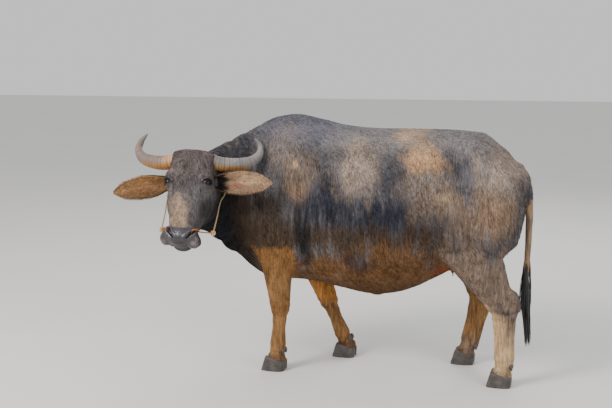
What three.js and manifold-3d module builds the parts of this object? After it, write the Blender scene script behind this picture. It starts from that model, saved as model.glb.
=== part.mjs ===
import * as THREE from 'three';
import { mergeVertices } from 'three/addons/utils/BufferGeometryUtils.js';
import Module from 'manifold-3d';

// Water buffalo cow, life size, in millimetres. Z is up, she faces -X and her left side is -Y.
// Her body is one smooth shape made of rounded masses, and the named parts are cut from it.

// Driving sizes
const WITHERS_HEIGHT = 1280;
const SPINE_TOP = WITHERS_HEIGHT - 64;
const GAP = 0.3;
const SMOOTH_ERROR = 1.7;
const LEG_ROOT = 62;
const HOOF_TOP = 62;
const HOOF_SLOPE = new THREE.Vector3(-0.28, 0, -1);
const EYE_RADIUS = 23;
const EYE_SUNK = 15;
const HORN_BASE = 36;
const HORN_RINGS = 26;
const EAR_WIDTH = 99;
const TAIL_RADIUS = 16;
const TAIL_CUTS = [860, 590];
const SWITCH_LOCKS = 20;
const ROPE_RADIUS = 3.4;

// Poll, and the directions of the turned head: to its own left, down the face, and out of the face
const POLL = new THREE.Vector3(-864, -420, 1127);
const FACE_TILT = THREE.MathUtils.degToRad(24);
const HEAD_ROLL = THREE.MathUtils.degToRad(1.9);
const FORWARD = new THREE.Vector3(0.07, -0.9975, 0).normalize();
const FACE_OUT = FORWARD.clone().multiplyScalar(Math.cos(FACE_TILT))
  .add(new THREE.Vector3(0, 0, Math.sin(FACE_TILT)));
const FACE_DOWN = FORWARD.clone().multiplyScalar(Math.sin(FACE_TILT))
  .add(new THREE.Vector3(0, 0, -Math.cos(FACE_TILT))).applyAxisAngle(FACE_OUT, -HEAD_ROLL);
const HEAD_LEFT = FACE_OUT.clone().cross(FACE_DOWN);

// A point of the head from its distances to the left, down the face and out of the face
const onHead = (left, down, out) => POLL.clone().addScaledVector(HEAD_LEFT, left)
  .addScaledVector(FACE_DOWN, down).addScaledVector(FACE_OUT, out);
// A point near the head from its distances to the left, level backwards and up
const nearPoll = (left, back, up) => POLL.clone().addScaledVector(HEAD_LEFT, left)
  .addScaledVector(FORWARD, -back).add(new THREE.Vector3(0, 0, up));

// Joints of each leg as it stands
const FORELEGS = {
  left: { shoulder: [-560, -150, 900], elbow: [-512, -178, 610], knee: [-489, -190, 322],
    fetlock: [-501, -190, 132], foot: [-508, -190, 58] },
  right: { shoulder: [-520, 150, 900], elbow: [-446, 165, 590], knee: [-322, 150, 292],
    fetlock: [-249, 148, 126], foot: [-222, 148, 58] },
};
const HINDLEGS = {
  left: { hip: [545, -150, 860], stifle: [462, -195, 650], hock: [618, -182, 372],
    fetlock: [624, -180, 132], foot: [614, -180, 58] },
  right: { hip: [520, 150, 860], stifle: [410, 190, 640], hock: [476, 172, 352],
    fetlock: [422, 170, 126], foot: [398, 170, 58] },
};

// Half thickness along a leg: which bone, how far down it, to the side, and front to back
const FORELEG_SHAPE = [
  ['shoulder', 0.0, 80, 150], ['shoulder', 0.5, 78, 128], ['elbow', 0.0, 66, 92],
  ['elbow', 0.35, 58, 78], ['elbow', 0.7, 48, 62], ['knee', 0.0, 47, 52], ['knee', 0.22, 37, 40],
  ['knee', 0.55, 33, 35], ['fetlock', 0.0, 41, 43], ['fetlock', 0.5, 40, 38], ['foot', 0.0, 50, 50],
];
const HINDLEG_SHAPE = [
  ['hip', 0.0, 98, 150], ['hip', 0.5, 98, 170], ['stifle', 0.0, 84, 138], ['stifle', 0.35, 66, 112],
  ['stifle', 0.7, 50, 82], ['hock', 0.0, 43, 64], ['hock', 0.25, 39, 58], ['hock', 0.55, 37, 51],
  ['fetlock', 0.0, 43, 51], ['fetlock', 0.5, 41, 40], ['foot', 0.0, 51, 52],
];

// Trunk from front to rear: place, back line, belly line, half width, height of the widest place
const TRUNK = [
  [-640, 1216, 450, 185, 760], [-560, 1256, 434, 215, 740], [-435, WITHERS_HEIGHT - 5, 436, 238, 730],
  [-320, 1256, 428, 262, 720], [-204, SPINE_TOP + 14, 408, 295, 700], [-50, SPINE_TOP, 386, 328, 690],
  [75, SPINE_TOP, 398, 335, 700], [175, SPINE_TOP, 432, 318, 720], [260, SPINE_TOP, 476, 290, 750],
  [350, SPINE_TOP - 2, 528, 258, 800], [430, 1208, 592, 240, 850], [490, 1198, 626, 226, 880],
  [563, 1146, 680, 195, 890], [626, 1094, 745, 155, 900], [690, 1034, 800, 110, 905],
];
const TRUNK_ENDS = [-600, -742, 590, 682];

// Head from the poll down the face: place, front line, jaw line, half width, depth of the widest place
const HEAD = [
  [-20, -20, -120, 88, -68], [0, -8, -130, 103, -66], [50, 6, -150, 108, -64], [105, 10, -178, 107, -62],
  [155, 8, -200, 108, -70], [205, 3, -208, 107, -84], [260, 0, -203, 99, -92],
  [315, -2, -177, 86, -84], [365, 0, -149, 75, -70], [398, 5, -124, 70, -58],
  [430, 5, -116, 69, -54], [458, -1, -113, 60, -56], [490, -14, -108, 48, -62],
];
const HEAD_ENDS = [12, -15, 440, 481];

// Neck from the chest to the head: centre, half width, half depth
const NECK = [
  [-500, 0, 868, 205, 360], [-660, -45, 874, 170, 325], [-720, -92, 884, 154, 300],
  [-780, -145, 893, 138, 252], [-842, -262, 903, 116, 198], [-858, -350, 948, 100, 162],
];

// Where the neck leaves the trunk and the head leaves the neck
const NECK_ROOT = { point: new THREE.Vector3(-648, -40, 880), way: new THREE.Vector3(-1, -0.42, 0.04) };
const HEAD_ROOT = { point: new THREE.Vector3(-857, -335, 960), way: new THREE.Vector3(-0.1, -0.92, 0.25) };

// Middle line of the tail, from inside the rump down to the tip of the switch
const TAIL_ROUTE = [[600, 1046], [654, 1032], [688, 990], [704, 925], [711, 850], [712, 735], [708, 590],
  [704, 480], [704, 390], [712, 290], [720, 200]].map(([x, z]) => new THREE.Vector3(x, 0, z));

const wasm = await Module();
wasm.setup();

// Smooth union of two distance-like values
function blend(a, b, width) {
  const overlap = Math.max(width - Math.abs(a - b), 0) / width;
  return Math.min(a, b) - overlap * overlap * width * 0.25;
}

// Value of a smooth curve through rows of numbers, at a place along their first column
function along(rows, place) {
  let i = 0;
  while (i < rows.length - 2 && place > rows[i + 1][0]) i += 1;
  const before = rows[Math.max(i - 1, 0)];
  const [from, to] = [rows[i], rows[i + 1]];
  const after = rows[Math.min(i + 2, rows.length - 1)];
  const span = to[0] - from[0];
  const t = Math.min(Math.max((place - from[0]) / span, 0), 1);
  return from.slice(1).map((value, k) => {
    const start = (to[k + 1] - before[k + 1]) / (to[0] - before[0]) * span;
    const end = (after[k + 1] - value) / (after[0] - from[0]) * span;
    const rise = to[k + 1] - value;
    return value + t * start + t * t * (3 * rise - 2 * start - end) + t * t * t * (start + end - 2 * rise);
  });
}

// A trunk-like form: rows of sections along one axis, rounded off at both ends
function loft(rows, [frontStart, frontEnd, rearStart, rearEnd], roundness) {
  return (place, side, up) => {
    const [top, bottom, half, widest] = along(rows, place);
    const high = up > widest ? (up - widest) / (top - widest) : (widest - up) / (widest - bottom);
    const wide = Math.abs(side) / half;
    const ahead = Math.max((place - frontStart) / (frontEnd - frontStart), 0);
    const behind = Math.max((place - rearStart) / (rearEnd - rearStart), 0);
    const ratio = (high ** roundness + wide ** roundness + (ahead + behind) ** roundness) ** (1 / roundness);
    const reach = Math.hypot(side, up - widest, 40 * (ahead + behind));
    return ratio < 0.05 ? -half : reach * (1 - 1 / ratio);
  };
}

// A limb-like form: a chain of oval sections, each with a centre, a half width and a half depth
function chain(sections, sideways) {
  const links = sections.slice(1).map((next, i) => {
    const start = new THREE.Vector3(...sections[i]);
    const way = new THREE.Vector3(...next).sub(start);
    const axis = way.clone().normalize();
    const side = sideways.clone().addScaledVector(axis, -sideways.dot(axis)).normalize();
    return { start, way, axis, side, deep: axis.clone().cross(side), from: sections[i], to: next };
  });
  const offset = new THREE.Vector3();
  return (point) => {
    let nearest = Infinity;
    for (const { start, way, axis, side, deep, from, to } of links) {
      offset.copy(point).sub(start);
      const t = Math.min(Math.max(offset.dot(way) / way.lengthSq(), 0), 1);
      offset.addScaledVector(way, -t);
      const [a, b] = [from[3] + t * (to[3] - from[3]), from[4] + t * (to[4] - from[4])];
      const c = Math.min(a, b);
      const [u, v, w] = [offset.dot(side), offset.dot(deep), offset.dot(axis)];
      const ratio = Math.hypot(u / a, v / b, w / c);
      const steep = Math.hypot(u / a / a, v / b / b, w / c / c) || 1 / c;
      nearest = Math.min(nearest, ratio * (ratio - 1) / steep);
    }
    return nearest;
  };
}

// A rounded mass: centre, three half sizes, and a lean in the side view in degrees
function mass(centre, sizes, lean = 0) {
  const [cos, sin] = [Math.cos(lean * Math.PI / 180), Math.sin(lean * Math.PI / 180)];
  return ({ x, y, z }) => {
    const [dx, dy, dz] = [x - centre[0], y - centre[1], z - centre[2]];
    const [u, w] = [dx * cos - dz * sin, dx * sin + dz * cos];
    const ratio = Math.hypot(u / sizes[0], dy / sizes[1], w / sizes[2]);
    const steep = Math.hypot(u / sizes[0] ** 2, dy / sizes[1] ** 2, w / sizes[2] ** 2) || 1;
    return ratio * (ratio - 1) / steep;
  };
}

// Sections of a leg from its joints and the shape that legs of its kind share
function legSections(joints, shape) {
  const names = Object.keys(joints);
  return shape.map(([name, part, side, deep]) => {
    const from = joints[name];
    const to = joints[names[names.indexOf(name) + 1]] ?? from;
    return [...from.map((value, k) => value + part * (to[k] - value)), side, deep];
  });
}

// Every rounded mass of the body, as a list of shapes with the width of their blend
const SIDEWAYS = new THREE.Vector3(0, 1, 0);
const LEVEL_FORWARD = new THREE.Vector3(0, 0, 1);
const trunk = loft(TRUNK, TRUNK_ENDS, 2.15);
const skull = loft(HEAD, HEAD_ENDS, 2.5);
const neck = chain(NECK.map(([x, y, z, a, b]) => [x, y, z, b, a]), LEVEL_FORWARD);
const limbs = (places, shape) => Object.values(places).map((joints) => (
  chain(legSections(joints, shape), SIDEWAYS)));
const forelegs = limbs(FORELEGS, FORELEG_SHAPE);
const hindlegs = limbs(HINDLEGS, HINDLEG_SHAPE);
const muscles = [-1, 1].flatMap((side) => [
  [mass([-430, side * 168, 950], [90, 70, 225], 16), 90],
  [mass([-545, side * 165, 740], [120, 75, 130]), 70],
  [mass([432, side * 176, 1118], [74, 48, 60]), 90],
  [mass([572, side * 150, 880], [104, 82, 215], -12), 80],
  [mass([640, side * 88, 980], [44, 42, 60]), 60],
]);
const hocks = Object.values(HINDLEGS).map(({ hock: [x, y, z] }) => (
  [mass([x + 52, y, z + 44], [26, 24, 50], -12), 36]));
const navel = [mass([-34, 0, 398], [42, 20, 26]), 36];

// Features of the head: brow, eye, cheek, nostril wing, lip and chin masses in the head's own directions
const HEAD_MASSES = [-1, 1].flatMap((side) => [
  [[side * 92, 136, -30], [26, 38, 30], 18],
  [[side * 82, 240, -120], [26, 74, 62], 34],
  [[side * 54, 414, -24], [32, 34, 35], 16],
  [[side * 67, 440 + side * 4, -36], [34, 33, 32], 14],
]).concat([
  [[0, 430, -12], [54, 42, 33], 18],
  [[0, 459, -90], [42, 25, 32], 12],
]);

function headShape(point) {
  const offset = point.clone().sub(POLL);
  const [left, down, out] = [offset.dot(HEAD_LEFT), offset.dot(FACE_DOWN), offset.dot(FACE_OUT)];
  let value = skull(down, left, out);
  for (const [centre, sizes, width] of HEAD_MASSES) {
    value = blend(value, mass(centre, sizes)({ x: left, y: down, z: out }), width);
  }
  return value;
}

function bodyShape(point) {
  let value = trunk(point.x, point.y, point.z);
  value = blend(value, neck(point), 90);
  for (const [shape, width] of muscles) value = blend(value, shape(point), width);
  for (const leg of forelegs) value = blend(value, leg(point), 50);
  for (const leg of hindlegs) value = blend(value, leg(point), 60);
  for (const [shape, width] of hocks) value = blend(value, shape(point), width);
  value = blend(value, navel[0](point), navel[1]);
  return blend(value, headShape(point), 46);
}

// The patches of surface that cross one cell, as groups of its twelve edges
const CUBE = [0, 1, 2, 3, 4, 5, 6, 7].map((n) => [n & 1, (n >> 1) & 1, n >> 2]);
const edgeOf = (axis, corner) => axis * 4 + corner[(axis + 1) % 3] + 2 * corner[(axis + 2) % 3];

function patchesOf(insideAt) {
  const group = new Map();
  const find = (edge) => (group.get(edge) === edge ? edge : find(group.get(edge)));
  const crosses = (axis, corner) => (
    insideAt(corner) !== insideAt(corner.map((c, n) => (n === axis ? 1 - c : c))));
  for (const corner of CUBE) {
    for (const axis of [0, 1, 2]) {
      if (crosses(axis, corner)) group.set(edgeOf(axis, corner), edgeOf(axis, corner));
    }
  }
  for (const axis of [0, 1, 2]) {
    for (const side of [0, 1]) {
      const [p, q] = [(axis + 1) % 3, (axis + 2) % 3];
      const corners = CUBE.filter((corner) => corner[axis] === side);
      const edges = new Set(corners.flatMap((corner) => [p, q]
        .filter((n) => crosses(n, corner)).map((n) => edgeOf(n, corner))));
      const pairs = edges.size < 4 ? [[...edges]]
        : corners.filter(insideAt).map((corner) => [edgeOf(p, corner), edgeOf(q, corner)]);
      for (const [first, second] of pairs) {
        if (second !== undefined) group.set(find(first), find(second));
      }
    }
  }
  const patches = new Map();
  for (const edge of group.keys()) patches.set(find(edge), [...(patches.get(find(edge)) ?? []), edge]);
  return [...patches.values()];
}

// Mesh of a shape inside a box of cells: one corner for each patch of surface in a cell
function surface(shape, low, high, cell, place = (x, y, z) => new THREE.Vector3(x, y, z)) {
  const count = low.map((value, k) => Math.ceil((high[k] - value) / cell[k]) + 1);
  const step = low.map((value, k) => (high[k] - value) / (count[k] - 1));
  const at = (i, j, k) => (i * count[1] + j) * count[2] + k;
  const spot = (i, j, k) => [low[0] + i * step[0], low[1] + j * step[1], low[2] + k * step[2]];
  const values = new Float64Array(count[0] * count[1] * count[2]);
  for (let i = 0; i < count[0]; i += 1) {
    for (let j = 0; j < count[1]; j += 1) {
      for (let k = 0; k < count[2]; k += 1) {
        const edge = i % (count[0] - 1) === 0 || j % (count[1] - 1) === 0 || k % (count[2] - 1) === 0;
        const value = shape(place(...spot(i, j, k)));
        values[at(i, j, k)] = edge ? Math.max(value, 2) : value;
      }
    }
  }
  const slope = (x, y, z) => [[1, 0, 0], [0, 1, 0], [0, 0, 1]].map(([a, b, c]) => (
    shape(place(x + a, y + b, z + c)) - shape(place(x - a, y - b, z - c))) / 2);

  // A patch's corner starts at the middle of its crossings and is drawn onto the true surface
  const settle = (start) => {
    let moved = [...start];
    for (let turn = 0; turn < 3; turn += 1) {
      const [value, pull] = [shape(place(...moved)), slope(...moved)];
      const size = pull[0] ** 2 + pull[1] ** 2 + pull[2] ** 2 || 1;
      moved = moved.map((v, n) => v - 0.9 * value * pull[n] / size);
    }
    return moved.some((value, n) => Math.abs(value - start[n]) > 0.6 * step[n]) ? start : moved;
  };
  const corners = [];
  const cells = new Map();
  const cornersOf = (i, j, k) => {
    const key = at(i, j, k);
    if (cells.has(key)) return cells.get(key);
    const value = ([a, b, c]) => values[at(i + a, j + b, k + c)];
    const owner = new Map();
    for (const patch of patchesOf((corner) => value(corner) < 0)) {
      const sum = [0, 0, 0];
      for (const edge of patch) {
        const [axis, pair] = [edge >> 2, edge & 3];
        const start = [0, 0, 0];
        start[(axis + 1) % 3] = pair & 1;
        start[(axis + 2) % 3] = pair >> 1;
        const from = value(start);
        const to = value(start.map((c, n) => (n === axis ? 1 : c)));
        start[axis] = from / (from - to);
        start.forEach((c, n) => { sum[n] += c / patch.length; });
      }
      corners.push(place(...settle(spot(i + sum[0], j + sum[1], k + sum[2]))));
      for (const edge of patch) owner.set(edge, corners.length - 1);
    }
    cells.set(key, owner);
    return owner;
  };
  const faces = [];
  for (let i = 1; i < count[0] - 1; i += 1) {
    for (let j = 1; j < count[1] - 1; j += 1) {
      for (let k = 1; k < count[2] - 1; k += 1) {
        for (let axis = 0; axis < 3; axis += 1) {
          // An edge that starts on the box's low face is reached from its inner end
          for (const way of [1, -1]) {
            const next = [i, j, k];
            next[axis] += way;
            const inside = values[at(i, j, k)] < 0;
            if (inside === values[at(...next)] < 0) continue;
            if (way < 0 && next[axis] > 0) continue;
            const low = way > 0 ? [i, j, k] : next;
            const ring = [[0, 0], [1, 0], [1, 1], [0, 1]].map(([a, b]) => {
              const cellAt = [...low];
              cellAt[(axis + 1) % 3] -= a;
              cellAt[(axis + 2) % 3] -= b;
              return cornersOf(...cellAt).get(axis * 4 + a + 2 * b);
            });
            if (inside !== way > 0) ring.reverse();
            const [p, q, r, s] = ring;
            const short = corners[p].distanceTo(corners[r]) <= corners[q].distanceTo(corners[s]);
            faces.push(...(short ? [p, q, r, p, r, s] : [q, r, s, q, s, p]));
          }
        }
      }
    }
  }
  return solidFrom(corners, faces).simplify(SMOOTH_ERROR);
}

// Closed solid from corners and triangles, turned to face out
function solidFrom(corners, faces) {
  const make = (triVerts) => new wasm.Manifold(new wasm.Mesh({
    numProp: 3, vertProperties: new Float32Array(corners.flatMap(({ x, y, z }) => [x, y, z])), triVerts }));
  const solid = make(new Uint32Array(faces));
  return solid.volume() > 0 ? solid : make(new Uint32Array(faces).reverse());
}

// Closed solid of a three.js geometry
function solidOf(geometry) {
  const bare = new THREE.BufferGeometry().setAttribute('position', geometry.getAttribute('position'));
  bare.setIndex(geometry.index);
  const merged = mergeVertices(bare, 1e-3);
  const position = merged.getAttribute('position');
  const corners = Array.from({ length: position.count }, (_, i) => (
    new THREE.Vector3().fromBufferAttribute(position, i)));
  return solidFrom(corners, [...merged.index.array]);
}

function geometryOf(solid) {
  const { vertProperties, triVerts, numProp } = solid.getMesh();
  const position = Float32Array.from({ length: vertProperties.length / numProp * 3 },
    (_, i) => vertProperties[Math.floor(i / 3) * numProp + i % 3]);
  return new THREE.BufferGeometry().setAttribute('position', new THREE.BufferAttribute(position, 3))
    .setIndex(new THREE.BufferAttribute(new Uint32Array(triVerts), 1));
}

// The largest closed piece of a solid
function largest(solid) {
  return solid.decompose().reduce((best, piece) => (piece.volume() > best.volume() ? piece : best));
}

// A solid made larger all round, to leave the gap between touching parts
function grown(solid, by = 1.5 * GAP) {
  const geometry = geometryOf(solid);
  geometry.computeVertexNormals();
  const [position, normal] = [geometry.getAttribute('position'), geometry.getAttribute('normal')];
  const pick = (attribute, i) => new THREE.Vector3().fromBufferAttribute(attribute, i);
  const corners = Array.from({ length: position.count }, (_, i) => (
    pick(position, i).addScaledVector(pick(normal, i), by)));
  return solidFrom(corners, [...geometry.index.array]);
}

const clearOf = (solid, ...others) => (
  largest(others.reduce((left, other) => left.subtract(grown(other)), solid)));

// Large block whose near face passes through a point, square to a direction
function blockBeyond(point, direction) {
  const size = 1600;
  const block = new THREE.BoxGeometry(size, size, size);
  const up = new THREE.Vector3(0, 0, 1);
  const turn = new THREE.Quaternion().setFromUnitVectors(up, direction.clone().normalize());
  block.translate(0, 0, size / 2).applyQuaternion(turn).translate(point.x, point.y, point.z);
  return solidOf(block);
}

// Plate that follows a leg's outline in the side view, from inside the trunk outwards
function legPlate(sections, side, margin) {
  const bottom = sections[sections.length - 1];
  const path = [...sections.map(([x, , z, , deep]) => [x, z, deep]), [bottom[0], -60, bottom[4] + 40]];
  const front = path.map(([x, z, deep]) => new THREE.Vector2(x - deep - margin, z));
  const rear = path.map(([x, z, deep]) => new THREE.Vector2(x + deep + margin, z)).reverse();
  const [x, z, deep] = path[0];
  const [wide, high] = [deep + margin, deep * 1.25 + margin];
  const crown = Array.from({ length: 9 }, (_, i) => Math.PI * (i + 1) / 10)
    .map((angle) => new THREE.Vector2(x + wide * Math.cos(angle), z + high * Math.sin(angle)));
  const outline = new THREE.Shape([...front, ...rear, ...crown]);
  const plate = new THREE.ExtrudeGeometry(outline, { depth: 400, bevelEnabled: false });
  plate.rotateX(Math.PI / 2);
  plate.translate(0, side < 0 ? -LEG_ROOT : LEG_ROOT + 400, 0);
  return solidOf(plate);
}

// Point where a ray from inside a shape comes out of it
function exitPoint(from, direction, shape = bodyShape) {
  const way = direction.clone().normalize();
  let [inner, outer] = [0, 4];
  while (shape(from.clone().addScaledVector(way, outer)) < 0) [inner, outer] = [outer, outer + 4];
  for (let turn = 0; turn < 12; turn += 1) {
    const half = (inner + outer) / 2;
    if (shape(from.clone().addScaledVector(way, half)) < 0) inner = half;
    else outer = half;
  }
  return from.clone().addScaledVector(way, outer);
}

// A point moved to a set height above the body's surface
function laidOn(point, height) {
  const spot = point.clone();
  for (let turn = 0; turn < 12; turn += 1) {
    const pull = new THREE.Vector3(...[[2, 0, 0], [0, 2, 0], [0, 0, 2]].map(([x, y, z]) => {
      const step = new THREE.Vector3(x, y, z);
      return (bodyShape(spot.clone().add(step)) - bodyShape(spot.clone().sub(step))) / 4;
    }));
    spot.addScaledVector(pull, -0.7 * (bodyShape(spot) - height * pull.length()) / (pull.lengthSq() || 1));
  }
  return spot;
}

// Closed solid through rings of points, all with the same count, closed at both ends
function ringed(rings) {
  const corners = rings.flat();
  const count = rings[0].length;
  const faces = [];
  for (let row = 0; row < rings.length - 1; row += 1) {
    for (let i = 0; i < count; i += 1) {
      const [a, b] = [row * count + i, row * count + (i + 1) % count];
      faces.push(a, b, b + count, a, b + count, a + count);
    }
  }
  for (const [row, order] of [[0, 1], [rings.length - 1, -1]]) {
    const sum = rings[row].reduce((total, point) => total.add(point), new THREE.Vector3());
    corners.push(sum.divideScalar(count));
    for (let i = 0; i < count; i += 1) {
      const [a, b] = [row * count + i, row * count + (i + 1) % count];
      faces.push(...(order > 0 ? [b, a, corners.length - 1] : [a, b, corners.length - 1]));
    }
  }
  return solidFrom(corners, faces);
}

// Tapering round-sided solid along a curve; its size at each place gives the half height and half depth
function tapered(curve, rows, sides, sizeAt, up = new THREE.Vector3(0, 0, 1)) {
  return ringed(Array.from({ length: rows }, (_, row) => {
    const t = row / (rows - 1);
    const centre = curve.getPointAt(t);
    const way = curve.getTangentAt(t);
    const high = up.clone().addScaledVector(way, -up.dot(way)).normalize();
    const deep = way.clone().cross(high);
    const [a, b] = sizeAt(t);
    return Array.from({ length: sides }, (__, i) => {
      const angle = i / sides * Math.PI * 2;
      return centre.clone().addScaledVector(high, a * Math.cos(angle))
        .addScaledVector(deep, b * Math.sin(angle));
    });
  }));
}

// A round-sided solid along hand-placed points
const smooth = (points) => new THREE.CatmullRomCurve3(points, false, 'centripetal');

// Eye on one side: ball in its socket, with the rim of lids that the head carries
const eyeWay = (side) => HEAD_LEFT.clone().multiplyScalar(0.66 * side).addScaledVector(FACE_OUT, 0.74)
  .addScaledVector(FACE_DOWN, -0.05).normalize();
const eyeCentre = (side) => exitPoint(onHead(side * 70, 165 - side * 3, -46), eyeWay(side), headShape)
  .addScaledVector(eyeWay(side), -EYE_SUNK);

function lidRim(side) {
  const rim = new THREE.TorusGeometry(19.5, 4.4, 6, 14);
  rim.scale(1.12, 0.82, 1);
  const way = eyeWay(side);
  const high = FACE_DOWN.clone().negate().addScaledVector(way, FACE_DOWN.dot(way)).normalize();
  rim.applyMatrix4(new THREE.Matrix4().makeBasis(high.clone().cross(way), high, way));
  rim.translate(...eyeCentre(side).addScaledVector(way, EYE_SUNK + 1));
  return solidOf(rim);
}

function eyeBall(side, radius) {
  const ball = new THREE.SphereGeometry(radius, 12, 8);
  ball.translate(...eyeCentre(side));
  return solidOf(ball);
}

// Nostril: a slanting slit in the nose pad, wider at its outer end
function nostril(side) {
  const slit = new THREE.SphereGeometry(1, 10, 8);
  slit.scale(8, 27, 22);
  slit.rotateZ(side * 0.6);
  slit.applyMatrix4(new THREE.Matrix4().makeBasis(HEAD_LEFT, FACE_DOWN, FACE_OUT.clone().negate()));
  slit.translate(...onHead(side * 45 + 9, 422, 0));
  return solidOf(slit);
}

// Line of the closed mouth, round the front of the muzzle and back along both cheeks
function mouthLine() {
  const points = Array.from({ length: 17 }, (_, i) => {
    const turn = (i / 8 - 1) * 1.95;
    const way = HEAD_LEFT.clone().multiplyScalar(Math.sin(turn))
      .addScaledVector(FACE_OUT, 0.655 * Math.cos(turn)).addScaledVector(FACE_DOWN, 0.756 * Math.cos(turn));
    return exitPoint(onHead(0, 424, -84), way, headShape);
  });
  return tapered(smooth(points), 25, 6, () => [3, 5], FACE_DOWN);
}

// Horn: sideways from the poll, then back and up to an inward point, with growth rings
function horn(side) {
  const route = side > 0
    ? [[50, 50, -50], [120, 62, -72], [200, 96, -76], [262, 146, -62], [294, 188, -26], [290, 206, 14],
      [266, 200, 46]]
    : [[52, 50, -50], [125, 62, -76], [212, 90, -84], [296, 136, -68], [328, 176, -30], [318, 194, 8],
      [286, 196, 46]];
  const sizeAt = (t) => {
    const girth = HORN_BASE * (1 - t ** 2.4) ** 0.75 + 2;
    const ridge = 1 + 0.05 * Math.sin(t * HORN_RINGS * 2.1) * (1 - t);
    return [girth * ridge, girth * 0.78 * ridge];
  };
  const middle = smooth(route.map(([left, back, up]) => nearPoll(side * left, back, up)));
  return tapered(middle, HORN_RINGS, 9, sizeAt);
}

// Ear: a leaf rolled into a cup at its root and opening forwards
function ear(side) {
  const [root, tip] = side > 0 ? [nearPoll(88, 62, -160), nearPoll(392, 42, -146)]
    : [nearPoll(-88, 62, -166), nearPoll(-416, 42, -240)];
  const lengthwise = tip.clone().sub(root);
  const along01 = lengthwise.clone().normalize();
  const open = FORWARD.clone().addScaledVector(along01, -FORWARD.dot(along01)).normalize();
  const across = along01.clone().cross(open);
  return ringed(Array.from({ length: 10 }, (_, row) => {
    const u = row / 9;
    const leaf = Math.sin(Math.PI * (0.1 + 0.893 * u)) ** 0.66;
    const half = EAR_WIDTH / 2 * leaf * (0.72 + 0.28 * Math.min(u / 0.3, 1));
    const roll = THREE.MathUtils.degToRad(118 - 74 * Math.min(u * 1.8, 1));
    const radius = half / Math.sin(Math.min(roll, Math.PI / 2));
    const thick = 9 - 4 * u;
    const centre = root.clone().addScaledVector(lengthwise, u).addScaledVector(open, radius);
    const at = (turn, reach) => centre.clone().addScaledVector(open, -reach * Math.cos(turn))
      .addScaledVector(across, reach * Math.sin(turn));
    const front = Array.from({ length: 7 }, (__, i) => at((i / 3 - 1) * roll, radius));
    const back = Array.from({ length: 7 }, (__, i) => (
      at((1 - i / 3) * roll, radius + thick * (i % 6 ? 1 : 0.55))));
    return [...front, ...back];
  }));
}

// One claw of a cloven hoof, flat on the ground, its top face sloping down to the heel
function claw([x, y], side) {
  const levels = [[0, 72, 44, 25], [0.33, 65, 46, 25.5], [0.67, 58, 47, 24.5], [1, 50, 46, 23.5]];
  return ringed(levels.map(([height, toe, heel, half]) => Array.from({ length: 12 }, (_, i) => {
    const angle = i / 12 * Math.PI * 2;
    const [cos, sin] = [Math.cos(angle), Math.sin(angle)];
    const forward = Math.sign(cos) * Math.abs(cos) ** 0.85 * (cos > 0 ? toe : heel);
    const across = Math.sign(sin) * Math.abs(sin) ** 0.75 * half * (cos > 0 ? 1 - 0.28 * cos : 1);
    const spot = new THREE.Vector3(-forward, side * 27.5 + across + side * 0.06 * forward, 0);
    const top = HOOF_TOP - GAP + HOOF_SLOPE.x * spot.x;
    return new THREE.Vector3(x + spot.x, y + spot.y, height * top);
  })));
}

// Small claw behind the fetlock
function dewclaw(leg, side) {
  const [fetlock, foot] = leg.sections.slice(-3).filter((_, i) => i !== 1);
  const axis = new THREE.Vector3(...fetlock).lerp(new THREE.Vector3(...foot), 0.42);
  const spot = exitPoint(axis, new THREE.Vector3(1, side * 0.62, 0));
  const nub = new THREE.SphereGeometry(1, 6, 4);
  nub.scale(12, 13, 20);
  nub.rotateY(-0.35);
  nub.translate(...spot);
  return clearOf(solidOf(nub), leg.solid);
}

// Tail: a root, a shaft and a switch, cut from one tapering form
function tailForm() {
  const sizeAt = (t) => {
    const shaft = TAIL_RADIUS * (1 + 0.9 * Math.max(0, 0.2 - t) / 0.2) * (1 - 0.35 * Math.min(t / 0.6, 1));
    const taper = 1 - Math.max(0, t - 0.7) / 0.3 * 0.85;
    return [shaft * taper, shaft * taper];
  };
  return tapered(smooth(TAIL_ROUTE), 30, 8, sizeAt, new THREE.Vector3(1, 0, 0));
}

// One flat lock of the switch: it leaves the core, lies down along it and tapers to a point
function switchLock(n) {
  const route = smooth(TAIL_ROUTE);
  const down = (n + 0.5) / SWITCH_LOCKS;
  const turn = n * 2.4;
  const out = new THREE.Vector3(Math.cos(turn), Math.sin(turn), 0);
  const side = new THREE.Vector3(-Math.sin(turn), Math.cos(turn), 0);
  const [start, end] = [0.57 + 0.2 * down, 0.71 + 0.29 * down ** 0.7];
  return ringed([0, 0.25, 0.55, 0.82, 1].map((share) => {
    const t = start + (end - start) * share;
    const spread = 1 - 0.5 * Math.max(t - 0.75, 0) / 0.25;
    const lift = Math.sin(Math.min(share * 1.5, 1) * Math.PI / 2) * (1 - 0.35 * share);
    const wide = 12.5 * Math.sin(Math.PI * (0.22 + 0.72 * share)) + 0.8;
    const centre = route.getPointAt(Math.min(t, 1)).addScaledVector(out, (3 + 21 * lift) * spread);
    return [[1, 0], [0, 0.45], [-1, 0], [0, -0.45]].map(([a, b]) => (
      centre.clone().addScaledVector(side, -a * wide).addScaledVector(out, b * wide)));
  }));
}

// Udder with four teats, low between the thighs
function udder() {
  const bag = mass([378, 0, 592], [82, LEG_ROOT - 5, 66]);
  const teats = [-1, 1].flatMap((side) => [350, 400].map((x) => mass([x, side * 34, 532], [13, 13, 30])));
  const shape = (point) => teats.reduce((value, teat) => blend(value, teat(point), 10), bag(point));
  return surface(shape, [280, -90, 490], [480, 90, 680], [22, 15, 20]);
}

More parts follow.
